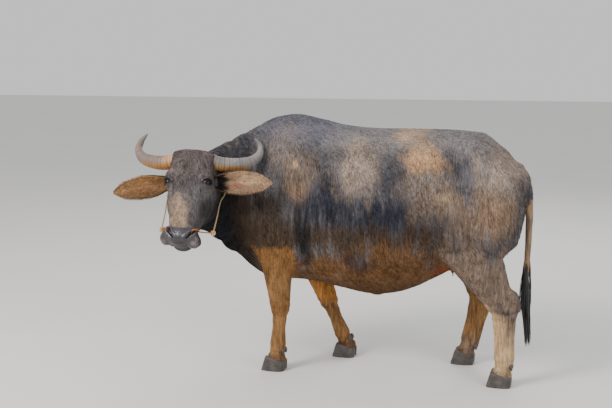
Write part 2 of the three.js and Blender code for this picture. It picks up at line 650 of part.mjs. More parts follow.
// Rope through the nose and round behind the horns, held all the way
// Its points are to the left, down and out of the face; those with a height lie that far above the skin
const ROPE_KNOT = [130, 378, -122];
const ROPE_NOSE = [[52, 412, -18], [64, 404, 0, 4], [78, 397, -14, 5], [100, 388, -60, 9]];
const ROPE_BAND = [[132, 290, -143], [133, 208, -162], [118, 158, -186, 9], [96, 95, -190, 12],
  [62, 30, -172, 15], [0, 2, -150, 17]];
const mirrored = (points) => points.map(([left, down, out, height]) => [-left, down, out, height]);

function rope(points) {
  const route = points.map(([left, down, out, height]) => (
    height ? laidOn(onHead(left, down, out), height) : onHead(left, down, out)));
  return tapered(smooth(route), points.length * 4, 5, () => [ROPE_RADIUS, ROPE_RADIUS], FACE_OUT);
}

function knot(side) {
  const ball = new THREE.IcosahedronGeometry(10, 1);
  ball.scale(1, 1.25, 0.9);
  ball.translate(...onHead(side * ROPE_KNOT[0], ROPE_KNOT[1], ROPE_KNOT[2]));
  return solidOf(ball);
}

// Coats
const coat = (color, roughness) => new THREE.MeshStandardMaterial({ color, roughness, metalness: 0 });
const HIDE = () => coat(0x4a4642, 0.85);
const LOWER_LEG = () => coat(0x8a6a48, 0.88);
const SWITCH = () => coat(0x1d1b1c, 0.8);
const SKIN = () => coat(0xa8705c, 0.7);
const EAR = () => coat(0x9a7452, 0.9);
const EYE = () => coat(0x100c0a, 0.12);
const HORN = () => coat(0x8e8874, 0.6);
const HOOF = () => coat(0x3b3430, 0.6);
const ROPE = () => coat(0xb98a55, 0.9);

const buffalo = new THREE.Group();
const addPart = (name, solid, material) => {
  const part = new THREE.Mesh(geometryOf(largest(solid.simplify(0.02))), material);
  part.name = name;
  buffalo.add(part);
  return solid;
};

// Legs
const legs = {};
const KINDS = [['foreleg', FORELEGS, FORELEG_SHAPE], ['hindleg', HINDLEGS, HINDLEG_SHAPE]];
for (const [kind, joints, shape] of KINDS) {
  for (const [sideName, side] of [['left', -1], ['right', 1]]) {
    const sections = legSections(joints[sideName], shape);
    const reach = Math.max(...sections.map(([x, , , , deep]) => x + deep)) + 60;
    const start = Math.min(...sections.map(([x, , , , deep]) => x - deep)) - 60;
    const [near, far] = side < 0 ? [-380, -20] : [20, 380];
    const block = surface(bodyShape, [start, near, 20], [reach, far, 1180], [34, 28, 42]);
    const plate = legPlate(sections, side, 18);
    const [footAt] = sections[sections.length - 1];
    const hoofCut = blockBeyond(new THREE.Vector3(footAt, 0, HOOF_TOP), HOOF_SLOPE);
    const solid = largest(block.intersect(plate).subtract(hoofCut));
    legs[`${kind}_${sideName}`] = { solid, wide: legPlate(sections, side, 18 + GAP), sections };
  }
}

// Trunk, neck and head
const beyond = ({ point, way }, gap) => (
  blockBeyond(point.clone().addScaledVector(way.clone().normalize(), gap), way));
const legSpaces = Object.values(legs).map(({ wide }) => wide);
const cutBy = (solid, cutters) => largest(cutters.reduce((left, cutter) => left.subtract(cutter), solid));
const torso = cutBy(surface(bodyShape, [-800, -400, 330], [760, 400, 1330], [66, 54, 56]),
  [beyond(NECK_ROOT, 0), ...legSpaces]);
const neckPart = cutBy(surface(bodyShape, [-1010, -560, 480], [-560, 220, 1300], [50, 50, 50])
  .intersect(beyond(NECK_ROOT, GAP)), [beyond(HEAD_ROOT, 0), ...legSpaces]);
const sides = [['left', 1], ['right', -1]];
const bareHead = surface(bodyShape, [-150, -60, -300], [150, 510, 50], [22, 22, 22], onHead);
const rimmedHead = sides.reduce((head, [, side]) => head.add(lidRim(side)), bareHead);
const head = cutBy(rimmedHead.intersect(beyond(HEAD_ROOT, GAP)), [mouthLine(),
  ...sides.flatMap(([, side]) => [eyeBall(side, EYE_RADIUS + GAP), nostril(side)])]);

addPart('torso', torso, HIDE());
addPart('neck', neckPart, HIDE());
addPart('head', head, HIDE());
for (const [name, { solid }] of Object.entries(legs)) addPart(name, solid, LOWER_LEG());

// Eyes, horns and ears
for (const [name, side] of sides) {
  addPart(`eye_${name}`, eyeBall(side, EYE_RADIUS), EYE());
  addPart(`horn_${name}`, clearOf(horn(side), head, neckPart), HORN());
  addPart(`ear_${name}`, clearOf(ear(side), head, neckPart), EAR());
}

// Feet
for (const [name, leg] of Object.entries(legs)) {
  const foot = leg.sections[leg.sections.length - 1];
  for (const [place, side] of [['inner', 1], ['outer', -1]]) {
    const across = name.endsWith('left') ? side : -side;
    addPart(`claw_${name}_${place}`, claw(foot, across), HOOF());
    addPart(`dewclaw_${name}_${place}`, dewclaw(leg, across), HOOF());
  }
}

// Tail and udder
const tail = tailForm();
const level = (height) => blockBeyond(new THREE.Vector3(0, 0, height), new THREE.Vector3(0, 0, -1));
const thighs = [legs.hindleg_left.solid, legs.hindleg_right.solid];
addPart('tail_root', clearOf(tail.subtract(level(TAIL_CUTS[0])), torso, ...thighs), HIDE());
addPart('tail_shaft', tail.intersect(level(TAIL_CUTS[0] - GAP)).subtract(level(TAIL_CUTS[1])), HIDE());
const switchLocks = Array.from({ length: SWITCH_LOCKS }, (_, n) => switchLock(n));
addPart('tail_switch', switchLocks.reduce((sum, lock) => sum.add(lock), tail)
  .intersect(level(TAIL_CUTS[1] - GAP)), SWITCH());
addPart('udder', clearOf(udder(), torso, ...thighs), SKIN());

// Rope
const knots = sides.map(([, side]) => knot(side));
const ropeStops = [...knots, head, neckPart];
const noseRope = [...ROPE_NOSE, ROPE_KNOT];
const band = [ROPE_KNOT, ...ROPE_BAND, ...mirrored([ROPE_KNOT, ...ROPE_BAND.slice(0, -1)]).reverse()];
sides.forEach(([name], i) => {
  addPart(`rope_knot_${name}`, knots[i], ROPE());
  addPart(`nose_rope_${name}`, clearOf(rope(i ? mirrored(noseRope) : noseRope), ...ropeStops), ROPE());
});
addPart('head_rope', clearOf(rope(band), ...ropeStops), ROPE());

// Bottom centre of the whole animal is the origin
buffalo.updateMatrixWorld(true);
const bounds = new THREE.Box3().setFromObject(buffalo, true);
const middle = bounds.getCenter(new THREE.Vector3());
buffalo.position.set(-middle.x, -middle.y, -bounds.min.z);

export default buffalo;
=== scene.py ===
"""Water buffalo cow, life size: one skin with a short coat, horns, hooves, eyes, tail and a thin rope."""

import math

import bmesh
import bpy
import numpy as np
from bpy.props import FloatProperty, FloatVectorProperty, IntProperty, PointerProperty
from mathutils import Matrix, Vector


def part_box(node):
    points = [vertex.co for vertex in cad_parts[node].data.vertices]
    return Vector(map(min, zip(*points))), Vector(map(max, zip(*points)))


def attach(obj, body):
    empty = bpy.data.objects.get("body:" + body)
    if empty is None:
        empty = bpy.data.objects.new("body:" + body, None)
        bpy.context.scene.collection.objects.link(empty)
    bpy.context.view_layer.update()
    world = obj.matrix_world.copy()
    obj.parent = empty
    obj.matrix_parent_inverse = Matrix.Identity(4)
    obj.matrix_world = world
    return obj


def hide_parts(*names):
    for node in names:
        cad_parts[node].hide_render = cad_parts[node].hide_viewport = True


bl_info = {
    "name": "Water Buffalo Cow",
    "version": (1, 0, 0),
    "blender": (4, 5, 0),
    "location": "3D View > Sidebar > Buffalo",
    "description": "Dresses the packed solids of a standing water buffalo cow with skin, coat and horn",
    "category": "Add Mesh",
}

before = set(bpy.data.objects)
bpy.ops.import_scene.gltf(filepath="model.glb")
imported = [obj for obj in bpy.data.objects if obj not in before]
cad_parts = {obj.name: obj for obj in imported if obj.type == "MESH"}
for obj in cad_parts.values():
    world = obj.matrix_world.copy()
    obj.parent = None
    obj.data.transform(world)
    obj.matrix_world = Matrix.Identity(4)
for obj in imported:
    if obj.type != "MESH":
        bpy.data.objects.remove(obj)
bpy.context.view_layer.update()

# Form of the body, in millimetres
# She faces -X, her left side is -Y, up is +Z and she stands on z = 0
# These are the places of the solids before they are centred

POLL = np.array([-864.0, -420.0, 1127.0])
FORWARD = np.array([0.07, -0.9975, 0.0]) / math.hypot(0.9975, 0.07)
UP = np.array([0.0, 0.0, 1.0])
FACE_TILT = math.radians(24)
HEAD_ROLL = math.radians(1.9)
FACE_OUT = FORWARD * math.cos(FACE_TILT) + UP * math.sin(FACE_TILT)
FACE_DOWN = math.cos(HEAD_ROLL) * (FORWARD * math.sin(FACE_TILT) - UP * math.cos(FACE_TILT))
FACE_DOWN = FACE_DOWN - math.sin(HEAD_ROLL) * np.cross(UP, FORWARD)
HEAD_LEFT = np.cross(FACE_OUT, FACE_DOWN)

FORELEGS = (
    ((-560, -150, 900), (-512, -178, 610), (-489, -190, 322), (-501, -190, 132), (-508, -190, 58)),
    ((-520, 150, 900), (-446, 165, 590), (-322, 150, 292), (-249, 148, 126), (-222, 148, 58)),
)
HINDLEGS = (
    ((545, -150, 860), (462, -195, 650), (618, -182, 372), (624, -180, 132), (614, -180, 58)),
    ((520, 150, 860), (410, 190, 640), (476, 172, 352), (422, 170, 126), (398, 170, 58)),
)
# Half thickness down a leg: bone, how far down it, to the side, front to back
FORELEG_SHAPE = (
    (0, 0.0, 80, 150), (0, 0.5, 78, 128), (1, 0.0, 66, 92), (1, 0.35, 58, 78), (1, 0.7, 48, 62),
    (2, 0.0, 47, 52), (2, 0.22, 37, 40), (2, 0.55, 33, 35),
    (3, 0.0, 41, 43), (3, 0.5, 40, 38), (4, 0.0, 50, 50),
)
HINDLEG_SHAPE = (
    (0, 0.0, 98, 150), (0, 0.5, 98, 170), (1, 0.0, 84, 138), (1, 0.35, 66, 112), (1, 0.7, 50, 82),
    (2, 0.0, 43, 64), (2, 0.25, 39, 58), (2, 0.55, 37, 51),
    (3, 0.0, 43, 51), (3, 0.5, 41, 40), (4, 0.0, 51, 52),
)
# Trunk from front to rear: place, back line, belly line, half width, height of the widest place
TRUNK = (
    (-640, 1216, 450, 185, 760), (-560, 1256, 434, 215, 740), (-435, 1275, 436, 238, 730),
    (-320, 1256, 428, 262, 720), (-204, 1230, 408, 295, 700), (-50, 1216, 386, 328, 690),
    (75, 1216, 398, 335, 700), (175, 1216, 432, 318, 720), (260, 1216, 476, 290, 750),
    (350, 1214, 528, 258, 800), (430, 1208, 592, 240, 850), (490, 1198, 626, 226, 880),
    (563, 1146, 680, 195, 890), (626, 1094, 745, 155, 900), (690, 1034, 800, 110, 905),
)
TRUNK_ENDS = (-600, -742, 590, 682)
# Head from the poll down: place, front line, jaw line, half width, depth of the widest place
HEAD = (
    (-20, -20, -120, 88, -68), (0, -8, -130, 103, -66), (50, 6, -150, 108, -64), (105, 10, -178, 107, -62),
    (155, 8, -200, 108, -70), (205, 3, -208, 107, -84), (260, 0, -203, 99, -92), (315, -2, -177, 86, -84),
    (365, 0, -149, 75, -70), (398, 5, -124, 70, -58), (430, 5, -116, 69, -54), (458, -1, -113, 60, -56),
    (490, -14, -108, 48, -62),
)
HEAD_ENDS = (12, -15, 440, 481)
# Neck from the chest to the head: centre, half width, half depth
NECK = (
    (-500, 0, 868, 205, 360), (-660, -45, 874, 170, 325), (-720, -92, 884, 154, 300),
    (-780, -145, 893, 138, 252), (-842, -262, 903, 116, 198), (-858, -350, 948, 100, 162),
)
# Masses of the head on both sides: left, down, out of the face; three half sizes; width of the blend
HEAD_PAIRS = (
    ((92, 136, -30), (26, 38, 30), 18), ((82, 240, -120), (26, 74, 62), 34),
    ((54, 414, -24), (32, 34, 35), 16), ((67, 440, -36), (34, 33, 32), 14),
)
HEAD_MIDDLE = (((0, 430, -12), (54, 42, 33), 18), ((0, 459, -90), (42, 25, 32), 12))
TAIL_ROUTE = (
    (600, 1046), (654, 1032), (688, 990), (704, 925), (711, 850), (712, 735), (708, 590), (704, 480),
    (704, 390), (712, 290), (720, 200),
)
EYE_RADIUS = 23.0
EYE_SUNK = 15.0
HOOF_TOP = 62.0
HOOF_SLOPE = -0.28
SIDES = (("left", 1), ("right", -1))
LEG_NAMES = ("foreleg_left", "foreleg_right", "hindleg_left", "hindleg_right")
FLESH_NODES = ("torso", "neck", "head", *LEG_NAMES, "tail_root", "udder")
ACROSS = np.array([0.0, 1.0, 0.0])
# A point on the plane behind head and neck and the way out of it, and the lowest height of the head
HEAD_PLANE = (np.array([-857, -335, 960]), np.array([-0.1, -0.92, 0.25]))
NECK_PLANE = (np.array([-648, -40, 880]), np.array([-1, -0.42, 0.04]))
HEAD_LOW = 480


def unit(rows):
    """Rows of vectors, each made one long."""
    return rows / np.maximum(np.linalg.norm(rows, axis=-1, keepdims=True), 1e-9)


def smooth_step(value, low, high):
    """0 below low, 1 above high, and a soft rise between them; high may be the lower one."""
    t = np.clip((value - low) / (high - low), 0, 1)
    return t * t * (3 - 2 * t)


def on_head(left, down, out):
    """A point from its distances to the head's left, down the face and out of it."""
    return POLL + left * HEAD_LEFT + down * FACE_DOWN + out * FACE_OUT


def head_places(points):
    """Distances to the head's left, down the face and out of it, for rows of points."""
    return (points - POLL) @ np.stack([HEAD_LEFT, FACE_DOWN, FACE_OUT], 1)


def near_poll(left, back, up):
    """A point from its distances to the head's left, level backwards and up from the poll."""
    return POLL + left * HEAD_LEFT - back * FORWARD + up * UP


def blend(a, b, width):
    """Smooth union of two distance-like values."""
    overlap = np.maximum(width - np.abs(a - b), 0) / width
    return np.minimum(a, b) - overlap * overlap * width * 0.25


def along(rows, place):
    """Values of a smooth curve through rows, at places along their first column."""
    rows = np.asarray(rows, float)
    i = np.clip(np.searchsorted(rows[:, 0], place) - 1, 0, len(rows) - 2)
    before, here = rows[np.maximum(i - 1, 0)], rows[i]
    there, after = rows[i + 1], rows[np.minimum(i + 2, len(rows) - 1)]
    span = there[:, :1] - here[:, :1]
    t = np.clip((place[:, None] - here[:, :1]) / span, 0, 1)
    start = (there[:, 1:] - before[:, 1:]) / (there[:, :1] - before[:, :1]) * span
    end = (after[:, 1:] - here[:, 1:]) / (after[:, :1] - here[:, :1]) * span
    rise = there[:, 1:] - here[:, 1:]
    return here[:, 1:] + t * start + t * t * (3 * rise - 2 * start - end) + t ** 3 * (start + end - 2 * rise)


def loft(rows, ends, roundness):
    """A trunk-like form: sections along one axis, rounded off at both ends."""
    front_start, front_end, rear_start, rear_end = ends

    def value(place, side, up):
        top, bottom, half, widest = along(rows, place).T
        high = np.where(up > widest, (up - widest) / (top - widest), (widest - up) / (widest - bottom))
        ahead = np.maximum((place - front_start) / (front_end - front_start), 0)
        behind = np.maximum((place - rear_start) / (rear_end - rear_start), 0)
        ratio = (np.maximum(high, 0) ** roundness + np.abs(side / half) ** roundness
                 + (ahead + behind) ** roundness) ** (1 / roundness)
        reach = np.sqrt(side ** 2 + (up - widest) ** 2 + (40 * (ahead + behind)) ** 2)
        return np.where(ratio < 0.05, -half, reach * (1 - 1 / np.maximum(ratio, 0.05)))
    return value


def chain(sections, sideways):
    """A limb-like form: oval sections, each with a centre, a half width and a half depth."""
    links = []
    for here, there in zip(sections[:-1], sections[1:]):
        here, there = np.asarray(here, float), np.asarray(there, float)
        way = there[:3] - here[:3]
        axis = unit(way)
        side = unit(sideways - axis * (sideways @ axis))
        links.append((here, there, way, axis, side, np.cross(axis, side)))

    def value(points):
        nearest = np.full(len(points), 1e9)
        for here, there, way, axis, side, deep in links:
            offset = points - here[:3]
            t = np.clip(offset @ way / (way @ way), 0, 1)
            offset = offset - t[:, None] * way
            a, b = here[3] + t * (there[3] - here[3]), here[4] + t * (there[4] - here[4])
            c = np.minimum(a, b)
            u, v, w = offset @ side, offset @ deep, offset @ axis
            ratio = np.sqrt((u / a) ** 2 + (v / b) ** 2 + (w / c) ** 2)
            steep = np.sqrt((u / a ** 2) ** 2 + (v / b ** 2) ** 2 + (w / c ** 2) ** 2)
            nearest = np.minimum(nearest, ratio * (ratio - 1) / np.where(steep > 0, steep, 1 / c))
        return nearest
    return value


def mass(centre, sizes, lean=0.0):
    """A rounded mass with three half sizes and a lean in the side view, in degrees."""
    cos, sin = math.cos(math.radians(lean)), math.sin(math.radians(lean))
    a, b, c = sizes

    def value(points):
        dx, dy, dz = (points - np.asarray(centre, float)).T
        u, w = dx * cos - dz * sin, dx * sin + dz * cos
        ratio = np.sqrt((u / a) ** 2 + (dy / b) ** 2 + (w / c) ** 2)
        steep = np.sqrt((u / a ** 2) ** 2 + (dy / b ** 2) ** 2 + (w / c ** 2) ** 2)
        return ratio * (ratio - 1) / np.where(steep > 0, steep, 1)
    return value


def leg_sections(joints, shape):
    """Sections of a leg from its joints and the shape that legs of its kind share."""
    rows = []
    for bone, part, side, deep in shape:
        here = np.asarray(joints[bone], float)
        there = np.asarray(joints[min(bone + 1, 4)], float)
        rows.append([*(here + part * (there - here)), side, deep])
    return rows


LEGS = [leg_sections(joints, FORELEG_SHAPE) for joints in FORELEGS]
LEGS += [leg_sections(joints, HINDLEG_SHAPE) for joints in HINDLEGS]
TAIL_ROOT_SIZES = (31, 29, 25, 21, 18)
skull = loft(HEAD, HEAD_ENDS, 2.5)
trunk = loft(TRUNK, TRUNK_ENDS, 2.15)


def head_form(points):
    """Value of the head alone: below zero inside it."""
    places = head_places(points)
    value = skull(places[:, 1], places[:, 0], places[:, 2])
    for side in (-1, 1):
        for (left, down, out), sizes, width in HEAD_PAIRS:
            uneven = 4 * side * (left == 67)
            value = blend(value, mass((side * left, down + uneven, out), sizes)(places), width)
    for centre, sizes, width in HEAD_MIDDLE:
        value = blend(value, mass(centre, sizes)(places), width)
    return value


def body_forms():
    """Every mass of the body with the width of its blend and the box that it acts in."""
    neck = chain([(x, y, z, b, a) for x, y, z, a, b in NECK], UP)
    forms = [(neck, 90, (-1100, -560, 400), (-180, 330, 1420))]
    pairs = (((-430, 168, 950), (90, 70, 225), 16, 90), ((-545, 165, 740), (120, 75, 130), 0, 70),
             ((432, 176, 1118), (74, 48, 60), 0, 90), ((572, 150, 880), (104, 82, 215), -12, 80),
             ((640, 88, 980), (44, 42, 60), 0, 60))
    for side in (-1, 1):
        for (x, y, z), sizes, lean, width in pairs:
            form = mass((x, side * y, z), sizes, lean)
            forms.append((form, width, (x - 340, -420, z - 420), (x + 340, 420, z + 420)))
    for sections, width in zip(LEGS, (50, 50, 60, 60)):
        places = np.array(sections)
        low, high = places[:, :3].min(0) - 260, places[:, :3].max(0) + 260
        forms.append((chain(sections, ACROSS), width, low, high))
    for joints in HINDLEGS:
        x, y, z = joints[2]
        hock = mass((x + 52, y, z + 44), (26, 24, 50), -12)
        forms.append((hock, 36, (x - 90, y - 160, z - 160), (x + 220, y + 160, z + 240)))
    forms.append((mass((-34, 0, 398), (42, 20, 26)), 36, (-200, -160, 240), (140, 160, 560)))
    forms.append((head_form, 46, (-1180, -860, 440), (-540, -200, 1330)))
    return forms


BODY_FORMS = body_forms()


def joined(points, forms, value):
    """Blends forms into a value, each only inside the box that it acts in."""
    value = value.copy()
    for form, width, low, high in forms:
        near = np.all((points > low) & (points < high), axis=1)
        if near.any():
            value[near] = blend(value[near], form(points[near]), width)
    return value


def body_form(points):
    """Value of the whole body as the solids have it."""
    return joined(points, BODY_FORMS, trunk(points[:, 0], points[:, 1], points[:, 2]))


def slope(form, points, step=1.0):
    """Direction and rate in which a form's value grows."""
    rise = [form(points + step * axis) - form(points - step * axis) for axis in np.eye(3)]
    return np.stack(rise, 1) / (2 * step)


def settle(form, points, height=0.0, turns=2):
    """Points drawn onto a form's surface, or to a height above it."""
    points = np.array(points, float)
    for _ in range(turns):
        pull = slope(form, points)
        size = np.maximum((pull ** 2).sum(1), 0.05)
        points -= np.clip((form(points) - height * np.sqrt(size)) / size, -30, 30)[:, None] * pull
    return points


def leaving(start, way, form):
    """Where a ray from inside a form comes out of it."""
    way = unit(np.asarray(way, float))
    reach = np.arange(0, 400, 2.0)
    value = form(start + reach[:, None] * way)
    outer = int(np.argmax(value > 0))
    t = reach[outer - 1] + 2 * value[outer - 1] / (value[outer - 1] - value[outer])
    return start + t * way


def eye_way(side):
    """Direction in which an eye looks."""
    return unit(0.66 * side * HEAD_LEFT + 0.74 * FACE_OUT - 0.05 * FACE_DOWN)


def eye_centre(side):
    """Centre of an eye, sunk behind the place where its way comes out of the head."""
    way = eye_way(side)
    return leaving(on_head(side * 70, 165 - side * 3, -46), way, head_form) - EYE_SUNK * way


EYE_CENTRES = {side: eye_centre(side) for side in (-1, 1)}
EYE_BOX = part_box("eye_left")
SHIFT = np.array(EYE_BOX[0] + EYE_BOX[1]) / 2 - EYE_CENTRES[1] / 1000


def to_frame(points):
    """Millimetres of the body's own to metres of the frame."""
    return np.asarray(points, float) / 1000 + SHIFT


def skin_forms():
    """The masses that only the skin adds: lids round the eyes, the root of the tail and the udder."""
    forms = []
    for side in (-1, 1):
        x, y, z = EYE_CENTRES[side]
        lids = mass((x, y, z), (EYE_RADIUS + 3.2,) * 3)
        forms.append((lids, 16, (x - 70, y - 70, z - 70), (x + 70, y + 70, z + 70)))
    tail = [(x, 0, z, size, size) for (x, z), size in zip(TAIL_ROUTE, TAIL_ROOT_SIZES)]
    forms.append((chain(tail, ACROSS), 40, (500, -120, 780), (800, 120, 1160)))
    forms.append((mass((378, 0, 600), (84, 66, 62)), 22, (240, -160, 470), (520, 160, 740)))
    for side in (-1, 1):
        for x in (350, 400):
            y = side * 32
            teat = mass((x, y, 536), (13, 13, 34))
            forms.append((teat, 12, (x - 40, y - 40, 480), (x + 40, y + 40, 600)))
    return forms


SKIN_FORMS = skin_forms()


def skin_form(points):
    """Value of the skin's own form, before folds."""
    return joined(points, SKIN_FORMS, body_form(points))


# Meshes

def mesh_object(name, points, faces, smooth=True):
    """A new object from points in metres and one array of faces, or several with their own corner counts."""
    groups = [np.asarray(group) for group in (faces if isinstance(faces, list) else [faces]) if len(group)]
    mesh = bpy.data.meshes.new(name)
    mesh.vertices.add(len(points))
    mesh.vertices.foreach_set("co", np.asarray(points, np.float32).ravel())
    corners = np.concatenate([group.ravel() for group in groups])
    counts = np.concatenate([np.full(len(group), group.shape[1]) for group in groups])
    mesh.loops.add(len(corners))
    mesh.polygons.add(len(counts))
    mesh.polygons.foreach_set("loop_start", np.concatenate([[0], np.cumsum(counts)[:-1]]).astype(np.int32))
    mesh.loops.foreach_set("vertex_index", corners.astype(np.int32))
    mesh.polygons.foreach_set("use_smooth", np.full(len(counts), smooth))
    mesh.update(calc_edges=True)
    mesh.validate()
    item = bpy.data.objects.new(name, mesh)
    bpy.context.scene.collection.objects.link(item)
    return item


def corners_of(mesh):
    """The points of a mesh, as rows."""
    points = np.empty(len(mesh.vertices) * 3, np.float32)
    mesh.vertices.foreach_get("co", points)
    return points.reshape(-1, 3).astype(float)


def place_corners(mesh, points):
    """Moves the points of a mesh to the given rows."""
    mesh.vertices.foreach_set("co", np.asarray(points, np.float32).ravel())
    mesh.update()


def ball(name, columns, rows, radius):
    """A new round object about the origin."""
    work = bmesh.new()
    bmesh.ops.create_uvsphere(work, u_segments=columns, v_segments=rows, radius=radius)
    mesh = bpy.data.meshes.new(name)
    work.to_mesh(mesh)
    work.free()
    mesh.polygons.foreach_set("use_smooth", np.ones(len(mesh.polygons), bool))
    item = bpy.data.objects.new(name, mesh)
    bpy.context.scene.collection.objects.link(item)
    return item


def mark(item, name, values):
    """A number for each point of an object."""
    attribute = item.data.attributes.new(name, "FLOAT", "POINT")
    attribute.data.foreach_set("value", np.asarray(values, np.float32))


def unwrap_to(item, places):
    """The map "OFBake" of an object, from a place for each of its points."""
    loops = np.empty(len(item.data.loops), np.int32)
    item.data.loops.foreach_get("vertex_index", loops)
    layer = item.data.uv_layers.new(name="OFBake")
    layer.data.foreach_set("uv", np.asarray(places[loops], np.float32).ravel())


def paint(item, name, values):
    """A colour attribute for each point of an object."""
    values = np.asarray(values, np.float32)
    attribute = item.data.attributes.new(name, "FLOAT_COLOR", "POINT")
    attribute.data.foreach_set("color", values.ravel())


def finish_piece(item, material, slot, *nodes):
    """Rides a piece on the frame's one body, with its material and the solids it stands for; its slot is not
    used.
    """
    item.data.materials.clear()
    item.data.materials.append(material)
    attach(item, "root")
    if nodes:
        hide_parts(*nodes)
    return item


def net(form, low, high, cell):
    """Quads over a form's surface: one corner in each cell of a grid that the surface crosses."""
    axes = [np.arange(a, b + cell, cell) for a, b in zip(low, high)]
    grid = np.stack(np.meshgrid(*axes, indexing="ij"), -1)
    value = form(grid.reshape(-1, 3)).reshape(grid.shape[:3])
    inside = value < 0
    total = np.zeros([*(np.array(grid.shape[:3]) - 1), 3])
    hits = np.zeros(total.shape[:3])
    for axis in range(3):
        first, second = [slice(None)] * 3, [slice(None)] * 3
        first[axis], second[axis] = slice(0, -1), slice(1, None)
        a, b = value[tuple(first)], value[tuple(second)]
        cross = (a < 0) != (b < 0)
        t = np.where(cross, a / np.where(cross, a - b, 1), 0)
        spot = grid[tuple(first)] + t[..., None] * (grid[tuple(second)] - grid[tuple(first)])
        others = [n for n in range(3) if n != axis]
        for u in (0, 1):
            for v in (0, 1):
                part = [slice(None)] * 3
                for n, shift in zip(others, (u, v)):
                    part[n] = slice(shift, cross.shape[n] - 1 + shift)
                hit = cross[tuple(part)]
                total += np.where(hit[..., None], spot[tuple(part)], 0)
                hits += hit
    used = hits > 0
    index = np.full(used.shape, -1)
    index[used] = np.arange(used.sum())
    points = total[used] / hits[used][:, None]
    quads = []
    for axis in range(3):
        p, q = (axis + 1) % 3, (axis + 2) % 3
        first, second = [slice(None)] * 3, [slice(None)] * 3
        first[axis], second[axis] = slice(0, -1), slice(1, None)
        here, there = inside[tuple(first)], inside[tuple(second)]
        for rising in (True, False):
            at = np.argwhere((here != there) & (here == rising))
            ring = []
            for a, b in ((1, 1), (0, 1), (0, 0), (1, 0)):
                place = at.copy()
                place[:, p] -= a
                place[:, q] -= b
                ring.append(index[place[:, 0], place[:, 1], place[:, 2]])
            ring = np.stack(ring if rising else ring[::-1], 1)
            quads.append(ring)
    return points, np.concatenate(quads)


def refined(mesh, chosen, form):
    """Splits the chosen faces of a mesh in millimetres in four and draws the new points onto a form."""
    old = len(mesh.vertices)
    work = bmesh.new()
    work.from_mesh(mesh)
    work.faces.ensure_lookup_table()
    edges = {edge for place in np.flatnonzero(chosen) for edge in work.faces[place].edges}
    bmesh.ops.subdivide_edges(work, edges=list(edges), cuts=1, use_grid_fill=True)
    work.to_mesh(mesh)
    work.free()
    points = corners_of(mesh)
    points[old:] = settle(form, points[old:])
    place_corners(mesh, points)


def face_centres(mesh):
    """Middle of every face of a mesh, as rows."""
    centres = np.empty(len(mesh.polygons) * 3, np.float32)
    mesh.polygons.foreach_get("center", centres)
    return centres.reshape(-1, 3).astype(float)


def normals_of(mesh):
    """Direction out of a mesh at each point, as rows."""
    rows = np.empty(len(mesh.vertices) * 3, np.float32)
    mesh.vertices.foreach_get("normal", rows)
    return rows.reshape(-1, 3).astype(float)


# Folds, lids, nostrils and lips

def distance_to_path(points, path):
    """Distance from each point to a line through a path, and how far along the path that is, from 0 to 1."""
    path = np.asarray(path, float)
    best = np.full(len(points), 1e9)
    place = np.zeros(len(points))
    for n, (here, there) in enumerate(zip(path[:-1], path[1:])):
        way = there - here
        t = np.clip((points - here) @ way / (way @ way), 0, 1)
        far = np.linalg.norm(points - here - t[:, None] * way, axis=1)
        closer = far < best
        best = np.where(closer, far, best)
        place = np.where(closer, (n + t) / (len(path) - 1), place)
    return best, place


def mouth_path():
    """Line of the closed mouth, round the front of the muzzle and back along both cheeks."""
    path = []
    for turn in np.linspace(-1.95, 1.95, 33):
        way = math.sin(turn) * HEAD_LEFT + math.cos(turn) * (0.655 * FACE_OUT + 0.756 * FACE_DOWN)
        path.append(leaving(on_head(0, 424, -84), way, head_form))
    return path


MOUTH = mouth_path()


def nostril_path(side):
    """Slit of one nostril, from its round upper and outer end down towards the middle."""
    path = []
    for left, down in ((61, 396), (57, 404), (50, 415), (40, 428), (28, 443)):
        start = on_head(side * left + 9, down, -40)
        path.append(leaving(start, FACE_OUT + 0.1 * side * HEAD_LEFT, head_form))
    return path


NOSTRILS = {side: nostril_path(side) for side in (-1, 1)}


def eye_places(points, side):
    """Distances from an eye's centre line: to its side and up, and the distance from the ball's centre."""
    way = eye_way(side)
    high = unit(-FACE_DOWN + way * (FACE_DOWN @ way))
    across = np.cross(high, way)
    offset = points - EYE_CENTRES[side]
    return offset @ across, offset @ high, offset @ way, np.linalg.norm(offset, axis=1)


def opening(across, high):
    """1 on the edge of the opening between the lids, and less inside it."""
    high = high - 0.6 - 0.12 * across * np.sign(across)
    return np.sqrt((across / 22.0) ** 2 + (high / np.where(high > 0, 15.5, 12.5)) ** 2 + 1e-9)


def open_lids(points):
    """Cuts the opening of each eye: skin inside it goes behind the ball, and creases run round the lids."""
    for side in (-1, 1):
        across, high, out, far = eye_places(points, side)
        near = (far < 60) & (out > 0)
        edge = opening(across, high)
        way = points - EYE_CENTRES[side]
        inner = near & (edge < 1)
        size = EYE_RADIUS - 6 + np.where(edge < 0.86, 0.0, (edge - 0.86) / 0.14 * 7.0)
        sunk = EYE_CENTRES[side] + unit(way) * np.minimum(far, size)[:, None]
        points = np.where(inner[:, None], sunk, points)
        lip = near & (edge >= 1)
        crease = 1.8 * np.exp(-((edge - 1.42) / 0.07) ** 2) + 1.2 * np.exp(-((edge - 1.8) / 0.08) ** 2)
        crease += 1.0 * np.exp(-((edge - 2.15) / 0.09) ** 2)
        crease *= smooth_step(high, -14, 4)
        points = np.where(lip[:, None], points - unit(way) * crease[:, None], points)
    return points


def bare_muzzle(points):
    """1 on the bare skin of the muzzle and lips, 0 on the haired face and elsewhere."""
    left, down, out = head_places(points).T
    edge = 387 + 6 * np.cos(left / 30) + 16 * smooth_step(np.abs(left), 40, 80) - 0.02 * (out + 60)
    front = smooth_step(down, edge - 6, edge + 8)
    return front * smooth_step(out, -128, -96) * (down > 300) * (points[:, 2] > HEAD_LOW)


